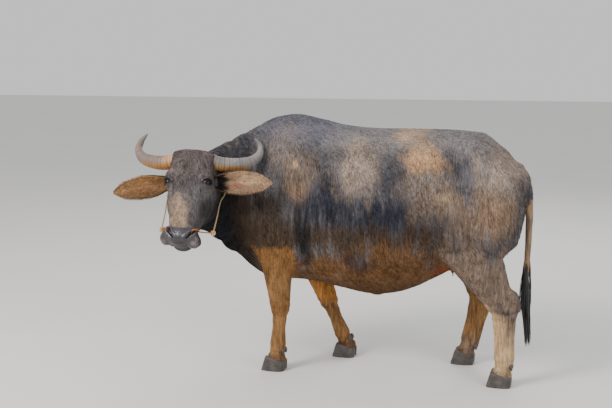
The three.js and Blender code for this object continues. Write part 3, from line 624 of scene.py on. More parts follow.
def folds(points, normals):
    """How far out the skin stands at each point, for folds, wrinkles and the shapes under it."""
    places = head_places(points)
    left, down, out = places.T
    x, y, z = points.T
    rise = np.zeros(len(points))
    head = (down > 40) & (down < 520) & (np.abs(left) < 150) & (out > -260) & (out < 80)

    # Lips: a groove at the mouth with a full lip over and under it
    far, _ = distance_to_path(points, MOUTH)
    rise += np.where(head, -7.0 * np.exp(-(far / 3.0) ** 2) + 2.6 * np.exp(-((far - 11) / 7) ** 2), 0)

    # Hollow between nose pad, side lobes and lower lip
    recess = smooth_step(np.abs(left), 46, 34) * smooth_step(down, 446, 466) * smooth_step(out, -88, -78)
    rise -= np.where(head, 8 * recess * smooth_step(out, -22, -34), 0)

    # Nostrils with raised wings
    for side in (-1, 1):
        far, place = distance_to_path(points, NOSTRILS[side])
        width = np.interp(place, (0, 0.3, 0.6, 1), (8.6, 7.6, 5.6, 2.6))
        rise += np.where(head, -19 * np.exp(-(far / width) ** 4) + 3.0 * np.exp(-((far - 15) / 6.5) ** 2), 0)

    # Wrinkles across the bridge behind the nose pad, and down the cheeks
    bridge = smooth_step(down, 300, 340) * (1 - smooth_step(down, 385, 400)) * smooth_step(out, -70, -20)
    rise += np.where(head, bridge * 0.9 * np.sin(down / 5.6 + 0.8 * np.sin(left / 17)), 0)
    cheek = smooth_step(np.abs(left), 60, 90) * smooth_step(down, 200, 250)
    cheek *= 1 - smooth_step(down, 380, 430)
    rise += np.where(head, cheek * 1.1 * np.sin((down + 0.7 * out) / 9.0 + 0.6 * np.sin(out / 21)), 0)
    brow = smooth_step(down, 60, 85) * (1 - smooth_step(down, 120, 135)) * smooth_step(out, -60, -10)
    rise += np.where(head, brow * 0.9 * np.sin(left / 6.5 + 0.5 * np.sin(down / 15)), 0)

    # Hollow in front of each eye and the ridge under it
    hollow = np.exp(-(((np.abs(left) - 78) / 16) ** 2 + ((down - 215) / 42) ** 2 + ((out + 34) / 30) ** 2))
    rise += np.where(head, -5.0 * hollow, 0)

    # Folds where the neck bends, and down the throat
    neck = smooth_step(x, -520, -640) * smooth_step(y, -380, -300) * smooth_step(z, 560, 700)
    bend = np.hypot(x + 560, y + 430)
    rise += neck * smooth_step(-normals[:, 1], -0.2, 0.4) * 3.4 * np.sin(bend / 17 + 1.3 * np.sin(z / 130))
    throat = smooth_step(z, 900, 760) * smooth_step(x, -560, -680) * smooth_step(y, -420, -340)
    rise += throat * 3.0 * np.sin((z + 0.5 * y) / 19 + np.sin(x / 60))

    # Ribs, faint under the hide, and the slack fold between flank and thigh
    ribs = smooth_step(x, -300, -220) * (1 - smooth_step(x, 180, 260)) * smooth_step(z, 560, 700)
    ribs *= 1 - smooth_step(z, 1000, 1080)
    rise += ribs * 1.6 * np.sin((x + 0.22 * (z - 800)) / 11.5)
    slack = np.exp(-((x - 330 + 0.35 * (z - 640)) / 26) ** 2) * smooth_step(z, 560, 620)
    slack *= 1 - smooth_step(z, 760, 860)
    rise += slack * 7 * (np.abs(y) > 120)
    hollow = np.exp(-(((x - 330) / 70) ** 2 + ((z - 1060) / 70) ** 2)) * (np.abs(y) > 120)
    rise -= 9 * hollow

    # Loose skin at elbow and knee
    for joints in (*FORELEGS, *HINDLEGS):
        jx, jy, jz = joints[2]
        close = np.exp(-(((z - jz) / 60) ** 2)) * (np.abs(y - jy) < 110) * (np.abs(x - jx) < 130)
        rise += close * 1.2 * np.sin(z / 6.5 + 0.7 * np.sin(x / 14))
        fx, fy, fz = joints[3]
        close = np.exp(-(((z - fz + 22) / 26) ** 2)) * (np.abs(y - fy) < 80) * (np.abs(x - fx) < 90)
        rise += close * 1.4 * np.sin(z / 5.2)
    return rise


# Markings with painted shade and highlights, shared by skin and coat

def cloud(points, size, stretch, seed, waves=16):
    """Soft waves from about -1 to 1, of one size and stretched up and down."""
    draw = np.random.default_rng(seed)
    way = unit(draw.normal(size=(waves, 3))) * np.array([1, 1, 1 / stretch])
    pace = 2 * math.pi / size * draw.uniform(0.6, 1.7, waves)
    return np.sin(points @ (way * pace[:, None]).T + draw.uniform(0, 6.28, waves)).sum(1) / math.sqrt(waves)


# Patches of the trunk, a few of them painted shade: colour, place in the side view, half sizes, strength
PATCHES = (
    ("blue", -380, 1210, 260, 75, 0.7), ("haze", 330, 1180, 330, 60, 0.75),
    ("haze", -40, 1180, 240, 62, 0.6), ("dust", -470, 1120, 100, 90, 0.35),
    # The navy patch at x 60, z 800 is a painted shadow band across the lower flank
    ("navy", 60, 800, 330, 112, 0.95), ("navy", -255, 880, 110, 130, 0.9),
    ("navy", 96, 992, 100, 62, 0.6), ("navy", 331, 1026, 60, 40, 0.6),
    ("blue", 476, 1030, 60, 66, 0.6), ("dust", -91, 1036, 96, 118, 0.9),
    ("brown", -374, 988, 84, 100, 0.8), ("thigh", -386, 930, 56, 34, 0.5),
    ("orange", -394, 1046, 14, 20, 0.4), ("orange", 226, 1084, 86, 62, 0.7),
    ("tan", 136, 1190, 64, 32, 0.95), ("haze", 420, 1120, 60, 40, 0.5),
    ("dust", 250, 960, 130, 60, 0.5), ("brown", 304, 883, 110, 90, 0.85),
    ("tan", 340, 905, 60, 24, 0.5), ("thigh", 556, 850, 100, 124, 0.85),
    ("dust", 600, 1052, 110, 110, 0.95), ("brown", 440, 760, 110, 130, 0.6),
    ("earth_dark", 0, 690, 460, 72, 0.85), ("earth", 20, 520, 340, 70, 0.9),
    ("earth", 130, 596, 200, 84, 0.85), ("earth", -230, 545, 150, 80, 0.9),
    # The dark earth patch at z 440 is painted shade along the underside of the belly
    ("earth_dark", 11, 440, 330, 50, 0.9), ("navy", -70, 590, 60, 40, 0.6),
    ("navy", 420, 640, 60, 60, 0.4),
)


PATCH_EDGE = 0.62
# How far back the right side's patches are set
PATCH_SHIFT = 55.0


def tones_at(points, normals, colours):
    """Colour of hide and coat at each point, painted shade and highlights included, with how bare and wet the
    skin is as the fourth number.
    """
    left, down, out = head_places(points).T
    x, y, z = points.T
    broad, streak, fine = (cloud(points, 130, 1.2, 3), cloud(points, 34, 7.0, 5), cloud(points, 15, 5.0, 8))
    tone = np.tile(np.array(colours.slate, float), (len(points), 1))

    def lay(colour, amount):
        nonlocal tone
        colour = np.array(getattr(colours, colour) if isinstance(colour, str) else colour, float)
        tone = tone + np.clip(amount, 0, 1)[:, None] * (colour - tone)

    def ragged(far):
        return smooth_step(far + 0.2 * broad + 0.2 * streak + 0.08 * fine, 1 + PATCH_EDGE, 1 - PATCH_EDGE)

    def oval(to_left, downward, wide, high):
        return np.hypot((left - to_left) / wide, (down - downward) / high)

    # Trunk, with the right side's patches set a little further back
    shift = np.where(y > 0, PATCH_SHIFT, 0.0)
    for colour, px, pz, wide, high, strength in PATCHES:
        lay(colour, strength * ragged(np.hypot((x - shift - px) / wide, (z - pz) / high)))
    under = smooth_step(-normals[:, 2], 0.45, 0.9) * smooth_step(z, 700, 560)
    lay("earth", 0.8 * under * (np.abs(x) < 420))
    groin = np.hypot((x - 330) / 110, (z - 560) / 60)
    lay("groin", 0.75 * smooth_step(groin + 0.15 * broad, 1.4, 0.3) * smooth_step(np.abs(y), 240, 130))

    # Neck: navy for its dark hide and for the head's painted shadow, black on its lower part as painted shadow,
    # and dark brown on the lower breast, partly painted shadow
    neck = smooth_step(x, -600, -700)
    lay("navy", neck * (0.95 - 0.4 * smooth_step(z, 1000, 1130)))
    lay("brown", neck * 0.3 * smooth_step(streak + 0.5 * broad, 0.3, 1.4) * smooth_step(z, 900, 1050))
    lay("black", neck * 0.9 * smooth_step(z, 1010, 930))
    breast = smooth_step(x, -420, -500) * smooth_step(x, -760, -640)
    lay("earth_dark", breast * 0.7 * smooth_step(z + 30 * streak, 960, 840))

    # Legs: left fore, right fore, left hind, right hind
    def on_leg(n, spare=8):
        rows = np.array(LEGS[n])[::-1]
        middle, half = (np.interp(z, rows[:, 2], rows[:, k]) for k in (0, 4))
        far = np.abs(x - middle) / (half + spare) + 0.05 * streak
        return smooth_step(far, 1.3, 0.95) * ((y > 0) == (n % 2 > 0))

    left_fore, right_fore, left_hind, right_hind = (on_leg(n) for n in range(4))
    lay("earth_dark", left_fore * smooth_step(z + 30 * streak, 860, 700) * 0.8)
    lay("leg_brown", left_fore * smooth_step(z + 6 * streak + 10 * broad, 640, 618))
    lay("leg_tan", left_fore * smooth_step(z + 20 * broad, 520, 400) * 0.75)
    lay("leg_brown", left_fore * np.exp(-((z - 326) / 45) ** 2) * 0.8)
    lay("leg_brown", right_fore * smooth_step(z + 16 * broad, 560, 480))
    # Painted sunlight: the bright orange band on the right foreleg is its orange mud brightened as if sunlit
    lay("leg_orange_and_sunlight", right_fore * smooth_step(z + 12 * broad, 475, 430))
    lay("leg_tan", right_fore * smooth_step(z + 10 * broad, 330, 260))
    lay("leg_brown", right_fore * smooth_step(z, 190, 110) * 0.7)
    lay("brown", left_hind * smooth_step(z + 40 * broad + 20 * streak, 720, 600) * 0.9)
    streaked = left_hind * smooth_step(streak + 0.6 * broad, 0.2, 1.5)
    lay("earth_dark", streaked * smooth_step(z, 760, 620) * 0.45)
    lay("leg_tan", right_hind * smooth_step(z + 30 * broad + 10 * streak, 620, 480))
    lay("brown", right_hind * smooth_step(z, 190, 110) * 0.7)
    for mx, mz in ((600, 400), (630, 366), (655, 330)):
        spot = np.hypot((x - mx) / 16, (z - mz) / 20) + 0.3 * fine
        lay("navy", left_hind * 0.55 * smooth_step(spot, 1.3, 0.4))
    # Painted shadow: black in a band behind the left elbow
    elbow = np.hypot((x + 362 + 0.1 * (z - 740)) / 46, (z - 690) / 165) + 0.12 * streak
    lay("black", 0.85 * smooth_step(elbow, 1.35, 0.35) * (y < 0))
    front = smooth_step(x + 8 * broad, 640, 606)
    sock = left_hind * (z < 420) * smooth_step(z + 12 * broad + 0.35 * (x - 600), 372, 330)
    lay("pale", sock * (0.3 + 0.65 * np.maximum(front, smooth_step(z, 250, 170))))
    lay("navy", smooth_step(z, 96, 78) * 0.4)

    # Head
    start, way = HEAD_PLANE
    head = smooth_step((points - start) @ unit(way), -50, 30) * (z > HEAD_LOW) * (x < -640)
    ripple = cloud(points, 60, 1.0, 11)
    lay("face", head)
    lay("forehead", head * 0.85 * smooth_step(down + 16 * ripple, 175, 110))
    lay("face_blue", head * 0.8 * smooth_step(oval(22, 232, 62, 78) + 0.2 * ripple, 1.2, 0.5))
    lay("face_tan", head * 0.7 * smooth_step(oval(-14, 330, 54, 100) + 0.14 * ripple, 1.4, 0.3))
    lay("face_tan", head * 0.12 * smooth_step(oval(-84, 270, 30, 100) + 0.2 * ripple, 1.3, 0.4))
    lay("black", head * 0.15 * smooth_step(oval(40, 330, 22, 90) + 0.2 * ripple, 1.3, 0.4))
    lay("black", head * 0.55 * smooth_step(left, 58, 98) * smooth_step(down, 190, 260))
    # Painted shade: black under the jaw and towards the back of the head
    lay("black", head * 0.7 * smooth_step(out, -100, -160))
    for side in (-1, 1):
        across, high, _, far = eye_places(points, side)
        ring = opening(across, high)
        lay("navy", 0.8 * smooth_step(ring, 2.0, 1.2) * (far < 60))
        lay((0.012, 0.011, 0.012), smooth_step(ring, 1.2, 1.04) * (far < 40))
        # Painted highlight: a pale line along each upper lid
        lay((0.16, 0.14, 0.13), 0.75 * np.exp(-((ring - 1.3) / 0.1) ** 2) * (high > 2) * (far < 46))
    wet = bare_muzzle(points)
    lay("muzzle", wet)
    # Painted shade: near black in the gap under the nose pad, between the lip lobes
    middle = wet * smooth_step(np.abs(left), 50, 38) * smooth_step(down, 440, 460)
    lay((0.008, 0.006, 0.006), 0.95 * middle * smooth_step(down, 448, 470) * smooth_step(out, -92, -84))
    lay((0.110, 0.072, 0.036), 0.85 * middle * smooth_step(out, -86, -94))
    lay((0.055, 0.036, 0.030), 0.6 * wet * smooth_step(np.abs(left), 40, 56) * smooth_step(down, 410, 440))
    # Painted highlights: pale grey on the lower edge of each lip lobe, stronger on the head's left
    for side in (-1, 1):
        lobe_highlight = oval(side * 76, 462, 18, 14)
        lay((0.20, 0.19, 0.175), wet * (0.6 if side > 0 else 0.3) * smooth_step(lobe_highlight, 1.3, 0.3))
    # The nose pad's violet slate, lightened in its middle by a painted highlight
    lay((0.050, 0.048, 0.066), 0.7 * wet * smooth_step(oval(0, 412, 34, 22), 1.2, 0.4))
    tone = tone * (1 + (1 - wet) * (0.14 * streak + 0.08 * fine + 0.06 * broad))[:, None]
    return np.concatenate([np.clip(tone, 0, 1), wet[:, None]], 1)


# Materials

class Nodes:
    """Short ways to add and join the nodes of one material."""

    def __init__(self, name):
        self.material = bpy.data.materials.new(name)
        self.material.use_nodes = True
        self.tree = self.material.node_tree
        self.shader = self.tree.nodes["Principled BSDF"]

    def add(self, kind, **inputs):
        node = self.tree.nodes.new(kind)
        for key, value in inputs.items():
            if key in node.bl_rna.properties:
                setattr(node, key, value)
            else:
                self.feed(node, key.replace("_", " "), value)
        return node

    def feed(self, node, socket, value):
        target = node.inputs[socket]
        if isinstance(value, bpy.types.NodeSocket):
            self.tree.links.new(value, target)
        else:
            target.default_value = value

    def set(self, **inputs):
        for key, value in inputs.items():
            self.feed(self.shader, key.replace("_", " "), value)

    def attribute(self, name):
        return self.add("ShaderNodeAttribute", attribute_name=name).outputs["Fac"]

    def place(self, scale=(1, 1, 1), turn=(0, 0, 0)):
        where = self.add("ShaderNodeTexCoord").outputs["Object"]
        return self.add("ShaderNodeMapping", Vector=where, Scale=scale, Rotation=turn).outputs[0]

    def noise(self, scale, detail=4.0, rough=0.55, vector=None, warp=0.0):
        node = self.add("ShaderNodeTexNoise", Vector=vector or self.place(), Scale=scale, Detail=detail,
                        Roughness=rough, Distortion=warp)
        return node.outputs["Fac"]

    def ramp(self, factor, *stops):
        node = self.add("ShaderNodeValToRGB", Fac=factor)
        band = node.color_ramp.elements
        while len(band) < len(stops):
            band.new(0.5)
        for element, (place, colour) in zip(band, stops):
            element.position = place
            element.color = (*colour, 1) if hasattr(colour, "__len__") else (colour,) * 3 + (1,)
        return node.outputs["Color"]

    def mix(self, factor, first, second, kind="MIX"):
        node = self.add("ShaderNodeMix", data_type="RGBA", blend_type=kind)
        self.feed(node, 0, factor)
        for place, value in ((6, first), (7, second)):
            linked = isinstance(value, bpy.types.NodeSocket)
            self.feed(node, place, value if linked else (*value[:3], 1))
        return node.outputs[2]

    def sums(self, operation, first, second=0.0, third=0.0):
        node = self.add("ShaderNodeMath", operation=operation)
        for place, value in enumerate((first, second, third)):
            self.feed(node, place, value)
        return node.outputs[0]

    def bump(self, *layers):
        normal = None
        for height, distance, strength in layers:
            node = self.add("ShaderNodeBump", Height=height, Distance=distance, Strength=strength)
            if normal is not None:
                self.feed(node, "Normal", normal)
            normal = node.outputs[0]
        self.set(Normal=normal)


def marked_colour(n):
    """Colour of hide or hair from the shared markings, painted shade and highlights included, with fine breaks
    in each.
    """
    tones = n.add("ShaderNodeAttribute", attribute_name="tones")
    streaks = n.noise(1.0, 5, 0.6, n.place((190, 190, 14), (0, 0.15, 0)))
    patches = n.noise(11.0, 5, 0.62, warp=0.6)
    specks = n.noise(60.0, 3, 0.7)
    light = n.sums("MULTIPLY_ADD", streaks, 2.4, n.sums("MULTIPLY_ADD", patches, 1.2, -0.8))
    colour = n.mix(1.0, tones.outputs["Color"], light, "MULTIPLY")
    colour = n.mix(n.ramp(specks, (0.6, 0.0), (0.85, 0.12)), colour, (0.26, 0.21, 0.16))
    return colour, streaks, specks, tones.outputs["Alpha"]


def hide_material(colours):
    """Hide of the body: slate with dried mud, tan legs, a wet dark muzzle, and the painted shade and highlights
    of the markings.
    """
    n = Nodes("hide")
    colour, streaks, specks, wet = marked_colour(n)
    pores = n.add("ShaderNodeTexVoronoi", Vector=n.place(), Scale=210.0).outputs["Distance"]
    bare = n.mix(n.noise(30.0, 3, 0.6), colours.muzzle, tuple(1.9 * c for c in colours.muzzle))
    n.set(Base_Color=n.mix(n.sums("MULTIPLY", wet, 0.2), colour, bare))
    n.set(Roughness=n.mix(wet, (0.85,) * 3, (0.27,) * 3))
    n.set(Specular_IOR_Level=n.mix(wet, (0.12,) * 3, (0.6,) * 3))
    n.bump((streaks, 0.003, 0.45), (pores, 0.0014, 0.35), (specks, 0.0016, 0.35))
    return n.material


def hair_material(name):
    """Short hair of the coat, with the hide's own markings, painted shade included."""
    n = Nodes(name)
    colour, _, _, _ = marked_colour(n)
    tint = n.attribute("tint")
    colour = n.mix(1.0, colour, n.sums("MULTIPLY_ADD", tint, 0.7, 0.72), "MULTIPLY")
    n.set(Base_Color=colour, Roughness=0.6, Specular_IOR_Level=0.12)
    return n.material


def plain_hair_material(name, dark, light, rough=0.5):
    """Hair of one kind, such as the switch or the ears' fringe, from dark to light strands."""
    n = Nodes(name)
    tint = n.attribute("tint")
    colour = n.mix(n.sums("MULTIPLY", tint, n.noise(40.0)), dark, light)
    n.set(Base_Color=colour, Roughness=rough)
    return n.material


# Hair

def tuft_mesh(name, roots, normals, lie, length, width, lift, unwrap, tones, seed, bend=0.5):
    """Closed three-sided tufts as one object: each rises from its root and bends over along the coat."""
    count = len(roots)
    draw = np.random.default_rng(seed)
    lie = unit(lie - normals * (lie * normals).sum(1)[:, None])
    side = np.cross(normals, lie)
    turn = draw.normal(0, 0.16, count)[:, None]
    lie = unit(lie + turn * side)
    side = np.cross(normals, lie)
    long = (length * draw.uniform(0.7, 1.25, count))[:, None]
    wide = (width * draw.uniform(0.75, 1.25, count))[:, None]
    raise_ = (lift * draw.uniform(0.5, 1.4, count))[:, None]
    rings = []
    for t, size in ((0.0, 1.0), (0.5, 0.8)):
        centre = roots + long * t * lie + normals * (long * raise_ * (t - bend * t * t) - wide * 0.4)
        rings.append(np.stack([centre - side * wide * size / 2, centre + side * wide * size / 2,
                               centre + normals * wide * size * 0.5], 1))
    tip = roots + long * lie + normals * long * raise_ * (1 - bend)
    points = np.concatenate([*rings, tip[:, None]], 1).reshape(-1, 3)
    pattern = [(0, 2, 1)]
    for a, b in ((0, 1), (1, 2), (2, 0)):
        pattern += [(a, b, b + 3), (a, b + 3, a + 3), (a + 3, b + 3, 6)]
    faces = (np.array(pattern)[None] + 7 * np.arange(count)[:, None, None]).reshape(-1, 3)
    item = mesh_object(name, to_frame(points), faces)
    paint(item, "tones", np.repeat(tones, 7, 0))
    mark(item, "tint", np.repeat(draw.uniform(0, 1, count), 7))

    # Each tuft has a patch of its own at its root's place on the unwrapped skin
    spread = 0.003 * np.array([(0, 0), (1, 0), (0.5, 0), (0, 0.6), (1, 0.6), (0.5, 0.6), (0.5, 1)])
    corner = (unwrap[:, None, :] + spread[None]).reshape(-1, 2)
    unwrap_to(item, np.clip(corner, 0, 1))
    return item


class SkinSample:
    """Places spread evenly over the skin, with the direction out of it."""

    def __init__(self, mesh, points):
        mesh.calc_loop_triangles()
        corners = np.empty(len(mesh.loop_triangles) * 3, np.int32)
        mesh.loop_triangles.foreach_get("vertices", corners)
        self.triangles = points[corners.reshape(-1, 3)]
        first, second, third = self.triangles.transpose(1, 0, 2)
        cross = np.cross(second - first, third - first)
        self.area = np.linalg.norm(cross, axis=1) / 2
        self.normal = normals_of(mesh)[corners.reshape(-1, 3)]

    def draw(self, density, count, seed):
        """Roots and normals, drawn with a density that is a function of place."""
        draw = np.random.default_rng(seed)
        weight = self.area * density(self.triangles.mean(1))
        chosen = draw.choice(len(weight), count, p=weight / weight.sum())
        u, v = draw.uniform(0, 1, (2, count))
        over = u + v > 1
        u, v = np.where(over, 1 - u, u), np.where(over, 1 - v, v)
        share = np.stack([1 - u - v, u, v], 1)[:, :, None]
        return (self.triangles[chosen] * share).sum(1), unit((self.normal[chosen] * share).sum(1))


def region_masks(points):
    """Which part of the body each point is on: head, neck, legs, body."""
    x, y, z = points.T
    head = ((points - HEAD_PLANE[0]) @ HEAD_PLANE[1] > 0) & (z > HEAD_LOW)
    neck = ((points - NECK_PLANE[0]) @ NECK_PLANE[1] > 0) & ~head
    legs = (z < 590) & ~head & ~neck
    for sections in LEGS:
        rows = np.array(sections)[::-1]
        middle, half = (np.interp(z, rows[:, 2], rows[:, k]) for k in (0, 4))
        legs |= (np.abs(x - middle) < half) & (z < 640) & ~head & ~neck
    low = z < 385
    legs &= (np.abs(y) > 90) | low
    legs &= (np.abs(x) > 300) | (x < -180) | low
    return head, neck, legs, ~(head | neck | legs)


def lie_of(points, normals):
    """Which way the hair lies: down face and legs, back along the neck, down and back on the body."""
    head, neck, legs, _ = region_masks(points)
    lie = np.tile(np.array([0.42, 0.0, -1.0]), (len(points), 1))
    lie[:, 0] += 0.5 * smooth_step(normals[:, 2], 0.5, 0.95)
    lie[legs] = (0.12, 0.0, -1.0)
    lie[neck] = (0.55, 0.5, -0.85)
    lie[head] = FACE_DOWN - 0.6 * FACE_OUT
    x, z = points[:, 0], points[:, 2]
    lie += 0.22 * np.stack([np.sin(z / 70 + x / 110), np.sin(x / 90), np.sin(x / 60 - z / 90)], 1)
    return lie


def around(points, centre, first, second):
    """Turn of each point about an axis, from 0 to 1."""
    offset = points - centre
    return np.arctan2(offset @ first, offset @ second) / (2 * math.pi) + 0.5


# Settings

class BuffaloColours(bpy.types.PropertyGroup):
    """Colours of hide, hair, horn and rope"""
    def colour(name, text, value):
        return FloatVectorProperty(name=name, description=text, subtype="COLOR", size=3, min=0, max=1,
                                   default=value)

    slate: colour("Slate", "Dark hide of the body", (0.078, 0.073, 0.078))
    blue: colour("Blue grey", "Blue grey of the back", (0.125, 0.121, 0.152))
    # Navy is partly painted shade: the shadow band across the lower flank and the head's shadow on the neck
    navy: colour("Navy", "Darkest band of the flank and the neck", (0.018, 0.019, 0.028))
    dust: colour("Dust", "Dusty streaks on flank and rump", (0.275, 0.212, 0.170))
    tan: colour("Tan", "Dry tan mud", (0.380, 0.265, 0.180))
    orange: colour("Orange tan", "Orange mud on the flank", (0.520, 0.305, 0.150))
    brown: colour("Brown", "Grey brown of hip, thigh and hock", (0.165, 0.118, 0.088))
    earth: colour("Earth", "Brown of the belly", (0.125, 0.060, 0.023))
    # Dark earth is also painted shade along the belly's underside and, in part, on the lower breast
    earth_dark: colour("Dark earth", "Dark brown of chest and upper arm", (0.048, 0.030, 0.018))
    # Black is mostly painted shade: behind the elbow, on the lower neck and under the jaw
    black: colour("Black", "Darkest hollows behind the elbow and under the jaw", (0.006, 0.006, 0.008))
    haze: colour("Haze", "Grey bloom along the back", (0.200, 0.182, 0.180))
    thigh: colour("Thigh", "Dull orange brown of thigh and shoulder", (0.215, 0.135, 0.082))
    # Leg orange is orange mud with painted sunlight on it
    leg_orange_and_sunlight: colour("Leg orange", "Bright hair of the right foreleg", (0.420, 0.190, 0.050))
    groin: colour("Groin", "Thin red skin of groin and udder", (0.210, 0.050, 0.012))
    leg_tan: colour("Leg tan", "Hair of the lower legs", (0.225, 0.118, 0.048))
    leg_brown: colour("Leg brown", "Brown of knees and forearms", (0.170, 0.082, 0.029))
    pale: colour("Pale hair", "Cream hair of the hind sock", (0.450, 0.300, 0.165))
    face: colour("Face", "Slate of the cheeks", (0.092, 0.082, 0.082))
    forehead: colour("Forehead", "Brown grey of the forehead", (0.108, 0.086, 0.082))
    face_blue: colour("Blue of the face", "Blue grey between the eyes", (0.088, 0.080, 0.085))
    face_tan: colour("Tan of the face", "Tan hair on one side of the bridge", (0.350, 0.245, 0.165))
    muzzle: colour("Muzzle", "Bare wet skin of nose and lips", (0.030, 0.026, 0.034))
    horn_dark: colour("Horn crevice", "Dark between the rings", (0.07, 0.06, 0.05))
    hoof: colour("Hoof", "Dark horn of the claws", (0.034, 0.029, 0.027))
    rope: colour("Rope", "Old rope", (0.50, 0.33, 0.16))


class BuffaloCoat(bpy.types.PropertyGroup):
    """Length and number of the tufts"""
    def length(name, text, value, low, high):
        return FloatProperty(name=name, description=text, default=value, min=low, max=high, unit="LENGTH")

    def number(name, text, value):
        return IntProperty(name=name, description=text, default=value, min=0, max=19000)

    body_length: length("Body hair", "Length of the tufts on the body", 0.026, 0.005, 0.08)
    face_length: length("Face hair", "Length of the tufts on the face", 0.011, 0.003, 0.03)
    leg_length: length("Leg hair", "Length of the tufts on the legs", 0.018, 0.003, 0.05)
    tuft_width: length("Tuft width", "Width of a tuft on the body", 0.0017, 0.0005, 0.01)
    depth: length("Coat depth", "How far the skin lies inside the solids", 0.003, 0.0, 0.02)
    body_tufts: number("Body tufts", "Tufts on each side of the body", 18500)
    leg_tufts: number("Leg tufts", "Tufts on the four legs", 15000)
    head_tufts: number("Head tufts", "Tufts on the head", 17000)
    neck_tufts: number("Neck tufts", "Tufts on the neck", 11000)


class BuffaloStage(bpy.types.PropertyGroup):
    """Floor, light and camera"""
    key_power: FloatProperty(name="Key light", description="Power of the large soft light", default=420.0,
                             min=0, max=5000, unit="POWER")
    fill_power: FloatProperty(name="Fill light", description="Power of the weaker light", default=110.0,
                              min=0, max=5000, unit="POWER")
    sky: FloatProperty(name="Room light", description="Strength of the even light all round", default=0.9,
                       min=0, max=5)
    lens: FloatProperty(name="Lens", description="Focal length in millimetres", default=64.7, min=20, max=200)


def settings():
    """The three groups of settings."""
    scene = bpy.context.scene
    return scene.buffalo_colours, scene.buffalo_coat, scene.buffalo_stage


# Pieces

STORE = {}


def build_skin():
    """The one skin of trunk, neck, head, legs, tail root and udder."""
    colours, coat, _ = settings()
    points, quads = net(skin_form, (-1060, -720, 20), (780, 400, 1340), 16.0)
    used = np.unique(quads)
    renumber = np.zeros(len(points), int)
    renumber[used] = np.arange(len(used))
    item = mesh_object("skin", settle(skin_form, points[used]), renumber[quads])
    mesh = item.data
    refined(mesh, np.ones(len(mesh.polygons), bool), skin_form)

    def in_head(margin, low, high):
        places = head_places(face_centres(mesh))
        left, down, out = places.T
        return (down > low) & (down < high) & (np.abs(left) < 150) & (out > -250 + margin) & (out < 90)

    refined(mesh, in_head(0, -40, 560), skin_form)
    centres = face_centres(mesh)
    fine = in_head(90, 340, 520)
    for side in (-1, 1):
        fine |= np.linalg.norm(centres - EYE_CENTRES[side], axis=1) < 62
    refined(mesh, fine, skin_form)
    centres = face_centres(mesh)
    fine = np.zeros(len(centres), bool)
    for side in (-1, 1):
        fine |= np.linalg.norm(centres - EYE_CENTRES[side], axis=1) < 38
        fine |= distance_to_path(centres, NOSTRILS[side])[0] < 18
    fine |= distance_to_path(centres, MOUTH)[0] < 12
    refined(mesh, fine, skin_form)

    points = corners_of(mesh)
    normals = unit(slope(skin_form, points, 3.0))
    bare = bare_muzzle(points)
    for side in (-1, 1):
        bare = np.maximum(bare, smooth_step(np.linalg.norm(points - EYE_CENTRES[side], axis=1), 50, 38))
    depth = coat.depth * 1000 * (1 - bare)
    points = points + normals * (folds(points, normals) - depth)[:, None]
    points = open_lids(points)
    points[:, 2] = np.maximum(points[:, 2], hoof_line(points) - 2)
    place_corners(mesh, points)
    STORE["sample"] = SkinSample(mesh, points)
    paint(item, "tones", tones_at(points, normals, colours))
    place_corners(mesh, to_frame(points))
    finish_piece(item, hide_material(colours), "hide", *FLESH_NODES)


def hoof_line(points):
    """Height at which the skin of a foot ends inside the hoof."""
    line = np.zeros(len(points))
    for sections in LEGS:
        x, y = sections[-1][:2]
        near = (np.abs(points[:, 0] - x) < 110) & (np.abs(points[:, 1] - y) < 90) & (points[:, 2] < 130)
        line = np.where(near, HOOF_TOP - 14 + HOOF_SLOPE * (points[:, 0] - x), line)
    return line


def tube(name, path, size_at, sides, rows, up=(0, 0, 1)):
    """A closed round-sided piece along a smooth path in millimetres."""
    path = np.asarray(path, float)
    t = np.linspace(0, 1, rows)
    curve = smooth_path(path, rows)
    way = unit(np.gradient(curve, axis=0))
    high = np.asarray(up, float) - way * (way @ np.asarray(up, float))[:, None]
    high = unit(high)
    deep = np.cross(way, high)
    angle = np.arange(sides) / sides * 2 * math.pi
    size = size_at(t[:, None], angle[None])
    a, b = size if isinstance(size, tuple) else (size, size)
    upward = (a * np.cos(angle))[..., None] * high[:, None]
    sideways = (b * np.sin(angle))[..., None] * deep[:, None]
    return closed_rings(name, curve[:, None] + upward + sideways)


def smooth_path(path, count):
    """Points at even steps along a smooth curve through given points."""
    path = np.asarray(path, float)
    ends = np.concatenate([[2 * path[0] - path[1]], path, [2 * path[-1] - path[-2]]])
    knots = np.concatenate([[0], np.cumsum(np.linalg.norm(np.diff(ends, axis=0), axis=1) ** 0.5)])
    fine = []
    for i in range(1, len(ends) - 2):
        t0, t1, t2, t3 = knots[i - 1:i + 3]
        p0, p1, p2, p3 = ends[i - 1:i + 3]
        t = np.linspace(t1, t2, 40, endpoint=False)[:, None]
        a1, a2, a3 = [(hi - t) / (hi - lo) * p + (t - lo) / (hi - lo) * q
                      for lo, hi, p, q in ((t0, t1, p0, p1), (t1, t2, p1, p2), (t2, t3, p2, p3))]
        b1 = (t2 - t) / (t2 - t0) * a1 + (t - t0) / (t2 - t0) * a2
        b2 = (t3 - t) / (t3 - t1) * a2 + (t - t1) / (t3 - t1) * a3
        fine.append((t2 - t) / (t2 - t1) * b1 + (t - t1) / (t2 - t1) * b2)
    fine = np.concatenate([*fine, path[-1:]])
    length = np.concatenate([[0], np.cumsum(np.linalg.norm(np.diff(fine, axis=0), axis=1))])
    even = np.linspace(0, length[-1], count)
    return np.stack([np.interp(even, length, fine[:, k]) for k in range(fine.shape[1])], 1)


def ring_quads(rows, sides, start=0):
    """Quads between rows of points that each go round once."""
    base = start + np.arange(rows - 1)[:, None] * sides
    i = np.arange(sides)[None]
    a, b = base + i, base + (i + 1) % sides
    return np.stack([a, b, b + sides, a + sides], -1).reshape(-1, 4)


